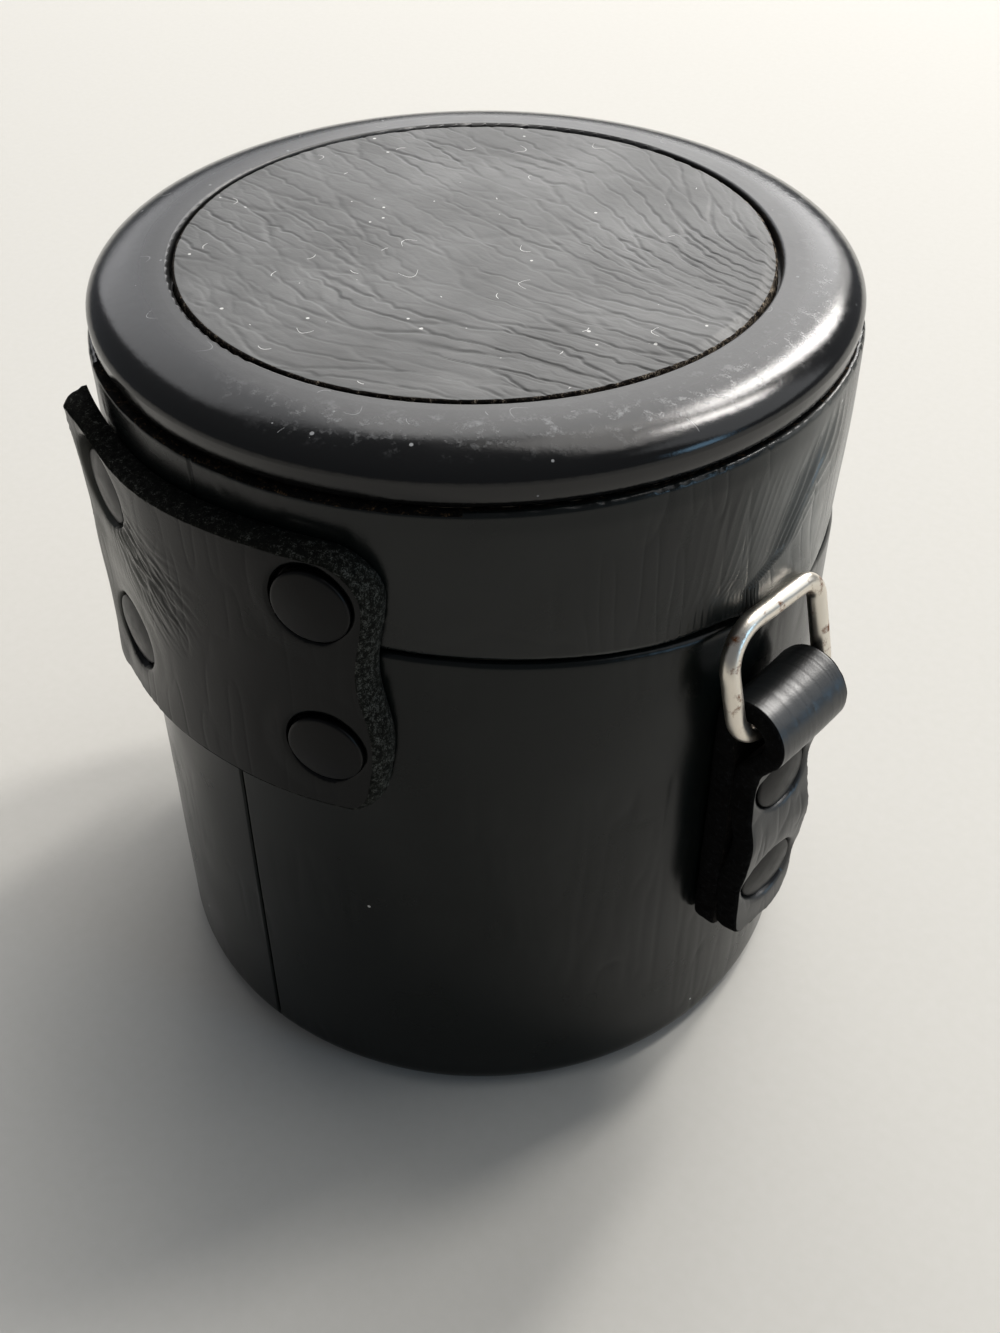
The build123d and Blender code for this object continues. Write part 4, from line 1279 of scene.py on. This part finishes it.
def wire_ring(side, radii, turned):
    """A ring of bent wire in its tab, leaning on the lid."""
    pivot = pivot_of(f"ring_swing_{side}")
    facing = atan2(pivot.y, pivot.x)
    out = outward_at(facing)
    aside = np.array([-out[1], out[0], 0])
    lean = asin((hypot(pivot.x, pivot.y) - (band_radius + wire_radius + ring_clearance)) / ring_span)
    up = at_height(cos(lean)) - out * sin(lean)
    steps, sides = 360, 28
    spin = np.array([[cos(turned), -sin(turned)], [sin(turned), cos(turned)]])
    loop = rounded_loop(ring_half_width, ring_span, radii, steps) @ spin.T
    centre = np.array(pivot) + loop[:, :1] * aside + loop[:, 1:] * up
    along = np.roll(centre, -1, 0) - np.roll(centre, 1, 0)
    along /= np.linalg.norm(along, axis=1, keepdims=True)
    face = np.cross(aside, up)
    inward = np.cross(along, face)
    turn = np.linspace(0, 2 * pi, sides, endpoint=False)
    uneven = soft_field(np.arange(steps)[:, None] / 9.0, turn[None, :] * 0.6 + 10, 95) - 0.5
    hammered = wire_radius * (1 + 0.03 * uneven)
    section = np.cos(turn)[None, :, None] * inward[:, None, :] + np.sin(turn)[None, :, None] * face
    points = centre[:, None, :] + hammered[:, :, None] * section
    make_piece(
        f"bent_wire_ring_{side}", points, quads(steps, sides, True, True), [ring_nickel],
        f"ring_{side}", [f"wire_ring_{side}"],
    )


wire_ring("left", (3.0, 2.3, 4.2, 3.3), ring_turn)
wire_ring("right", (3.2, 3.6, 2.6, 3.0), -ring_turn)

# %% [markdown]
# The lid is held shut by a strap on the side that the photograph doesn't show. Its root is
# riveted to the lid, and its flap carries half of a press stud. It is one strip, so it is one
# mesh here: curved where it lies on the lid, flat where it hangs, bending at the flap's joint.

# %% Fastening strap
closure_half = corners("closure_flap")[1].x
closure_thick = -corners("closure_strap_root")[0].y - band_radius
root_length = corners("closure_strap_root")[1].z - flap_point.z
flap_length = 27.0
flap_tilt = radians(13.13)
closure_round = 6.5
closure_rim = [(0.5, 1.0), (0.28, 0.96), (0.1, 0.84), (0.0, 0.6), (0.0, 0.3), (0.15, 0.08), (0.4, 0.0)]


def closure_strap():
    """The whole strap, root and flap, from one strip."""
    total = root_length + flap_length
    u, v, w, faces, kinds, _ = cut_sheet(
        total / 2, closure_half, [closure_round] * 4, closure_thick, closure_rim, 260, 84
    )
    down = u + total / 2 - root_length
    bent = rise(down, -1.6, 1.6)
    hang = np.maximum(down, 0)
    height = flap_point.z - np.minimum(down, 0) - hang * cos(flap_tilt)
    curve = band_radius + closure_thick
    sag = curve - np.sqrt(np.maximum(curve**2 - v**2, 0))
    front = hang * sin(flap_tilt) - flap_point.y - sag * (1 - bent)
    behind = closure_thick - w
    lines = crease_lines(u / 6.0 + 60, v / 1.3 + 60, 101, thin=5)
    surface = -0.03 * lines + 0.12 * (soft_field(u / 9 + 60, v / 7 + 60, 102) - 0.5)
    rivets_low, rivets_high = corners("closure_rivets")
    for level in (rivets_low.z + cap_radius, rivets_high.z - cap_radius):
        surface += rivet_dish(np.hypot(height - level, v), 0.0, 0.08) * (down < 0)
    share = rise(w, closure_thick * 0.4, closure_thick)
    on_cut = (w > 0.1) & (w < closure_thick * 0.99)
    fuzz = felted(np.stack([u, v, 1.7 * w], -1), 0.14, 0.55, 103) * on_cut[:, None]
    reach = front - behind * np.cos(flap_tilt * bent) + surface * share + fuzz[:, 2]
    level = height - behind * np.sin(flap_tilt * bent) + fuzz[:, 1]
    return np.stack([v + fuzz[:, 0], -reach, level], -1), faces, kinds


points, faces, kinds = closure_strap()
fastening = make_piece(
    "fastening_strap", points, faces, [strap_leather, strap_edge, flesh_side], None,
    ["closure_strap_root", "closure_flap"], kinds,
)
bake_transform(fastening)

# %% [markdown]
# The lining only shows when the lid is open. The walls are velveteen glued to the tube, with a
# seam where its ends meet, and floor and lid have a thin pad under the same cloth. A pad is a
# cushion, so it is crowned: high in the middle, drawn down at its rim.

# %% Linings and pads
cloth_thick = 0.55
cloth_seam = 0.4
pad_rim = [(1.6, 1.0), (1.0, 0.80), (0.45, 0.58), (0.1, 0.36), (0.0, 0.2), (0.3, 0.0)]


def wall_lining(name, node, body, seed):
    """A tube of cloth in the place of a lining, slightly uneven as glued cloth is. The lid's is
    cut on a slant at its lower end, the body's at its upper end."""
    low, high = corners(node)
    outer, inner, middle = high.x, high.x - cloth_thick, high.x - cloth_thick / 2
    if body == "case":
        straight, slanted = low.z, high.z - seam_slope * outer
        wall = line((inner, straight), (inner, slanted), 60)
        back = line((outer, slanted), (outer, straight), 6)
        loop = np.concatenate([wall, arc((middle, slanted), cloth_thick / 2, 180, 0, 7), back])
    else:
        straight, slanted = high.z, low.z + seam_slope * outer
        wall = line((inner, slanted), (inner, straight), 60)
        back = line((outer, straight), (outer, slanted), 6)
        loop = np.concatenate([wall, back, arc((middle, slanted), cloth_thick / 2, 0, -180, 7)])
    loop_reach, loop_height = loop[:, :1], loop[:, 1:]
    turn = np.linspace(0, 2 * pi, 360, endpoint=False)[None, :]
    reach = loop_reach + 0.08 * (soft_field(turn * 8, loop_height / 8, seed, 50) - 0.5)
    seam = rise(np.abs(around(turn, cloth_seam)) * outer, 0.9, 0.1)
    reach = reach + 0.18 * seam * (loop_reach < outer - 0.3)
    height = loop_height + seam_slope * outer * np.sin(turn) * rise(loop_height, straight, slanted)
    points = round_points(reach, turn + 0 * reach, height)
    make_piece(name, points, quads(len(loop), turn.size, True, True), [lining], body, [node])


def cushion(name, node, body, faces_up, seed):
    """A thin crowned pad under cloth."""
    low, high = corners(node)
    radius, thick = high.x - 0.1, high.z - low.z
    x, y, share, faces, kinds, last = cut_sheet(
        radius, radius, [radius] * 4, 1.0, pad_rim, 121, 121, plain_back=True
    )
    crown = 0.86 + 0.14 * (1 - (x**2 + y**2) / radius**2)
    waves = 0.03 * (soft_field(x / 5 + 50, y / 5 + 50, seed) - 0.5)
    level = np.where(share >= 1.0, crown + waves, share * 0.93) * thick
    points = np.stack([x, y, low.z + level if faces_up else high.z - level], -1)
    made = make_piece(name, points, faces, [lining] * 3, body, [node], kinds, last)


wall_lining("body_velveteen", "body_lining", "case", 111)
wall_lining("lid_velveteen", "lid_lining", "lid", 112)
cushion("floor_cushion", "base_pad", "case", True, 113)
cushion("lid_cushion", "lid_pad", "lid", False, 114)

# %% [markdown]
# What is left is right as it is: the moulded ring, the fastening strap's rivets, snap, washers
# and boards keep their engineering shapes and only get their finish. Each part's finish
# follows the slot that the model's record names for it.

# %% Finishes for the parts that stay
finish_of_slot = {
    "wrap_leather": wrap_leather,
    "strap_leather": strap_leather,
    "case_board": board,
    "lining": lining,
    "moulded_ring": ring_plastic,
    "black_rivet": rivet_lacquer,
    "plain_steel": washer_steel,
    "ring_wire": ring_nickel,
    "snap_metal": snap_brass,
}

for part in frame["record"]["subparts"]:
    shown = frame["nodes"][part["node"]]
    shown.data.materials.clear()
    shown.data.materials.append(finish_of_slot[part["material_slot"]])
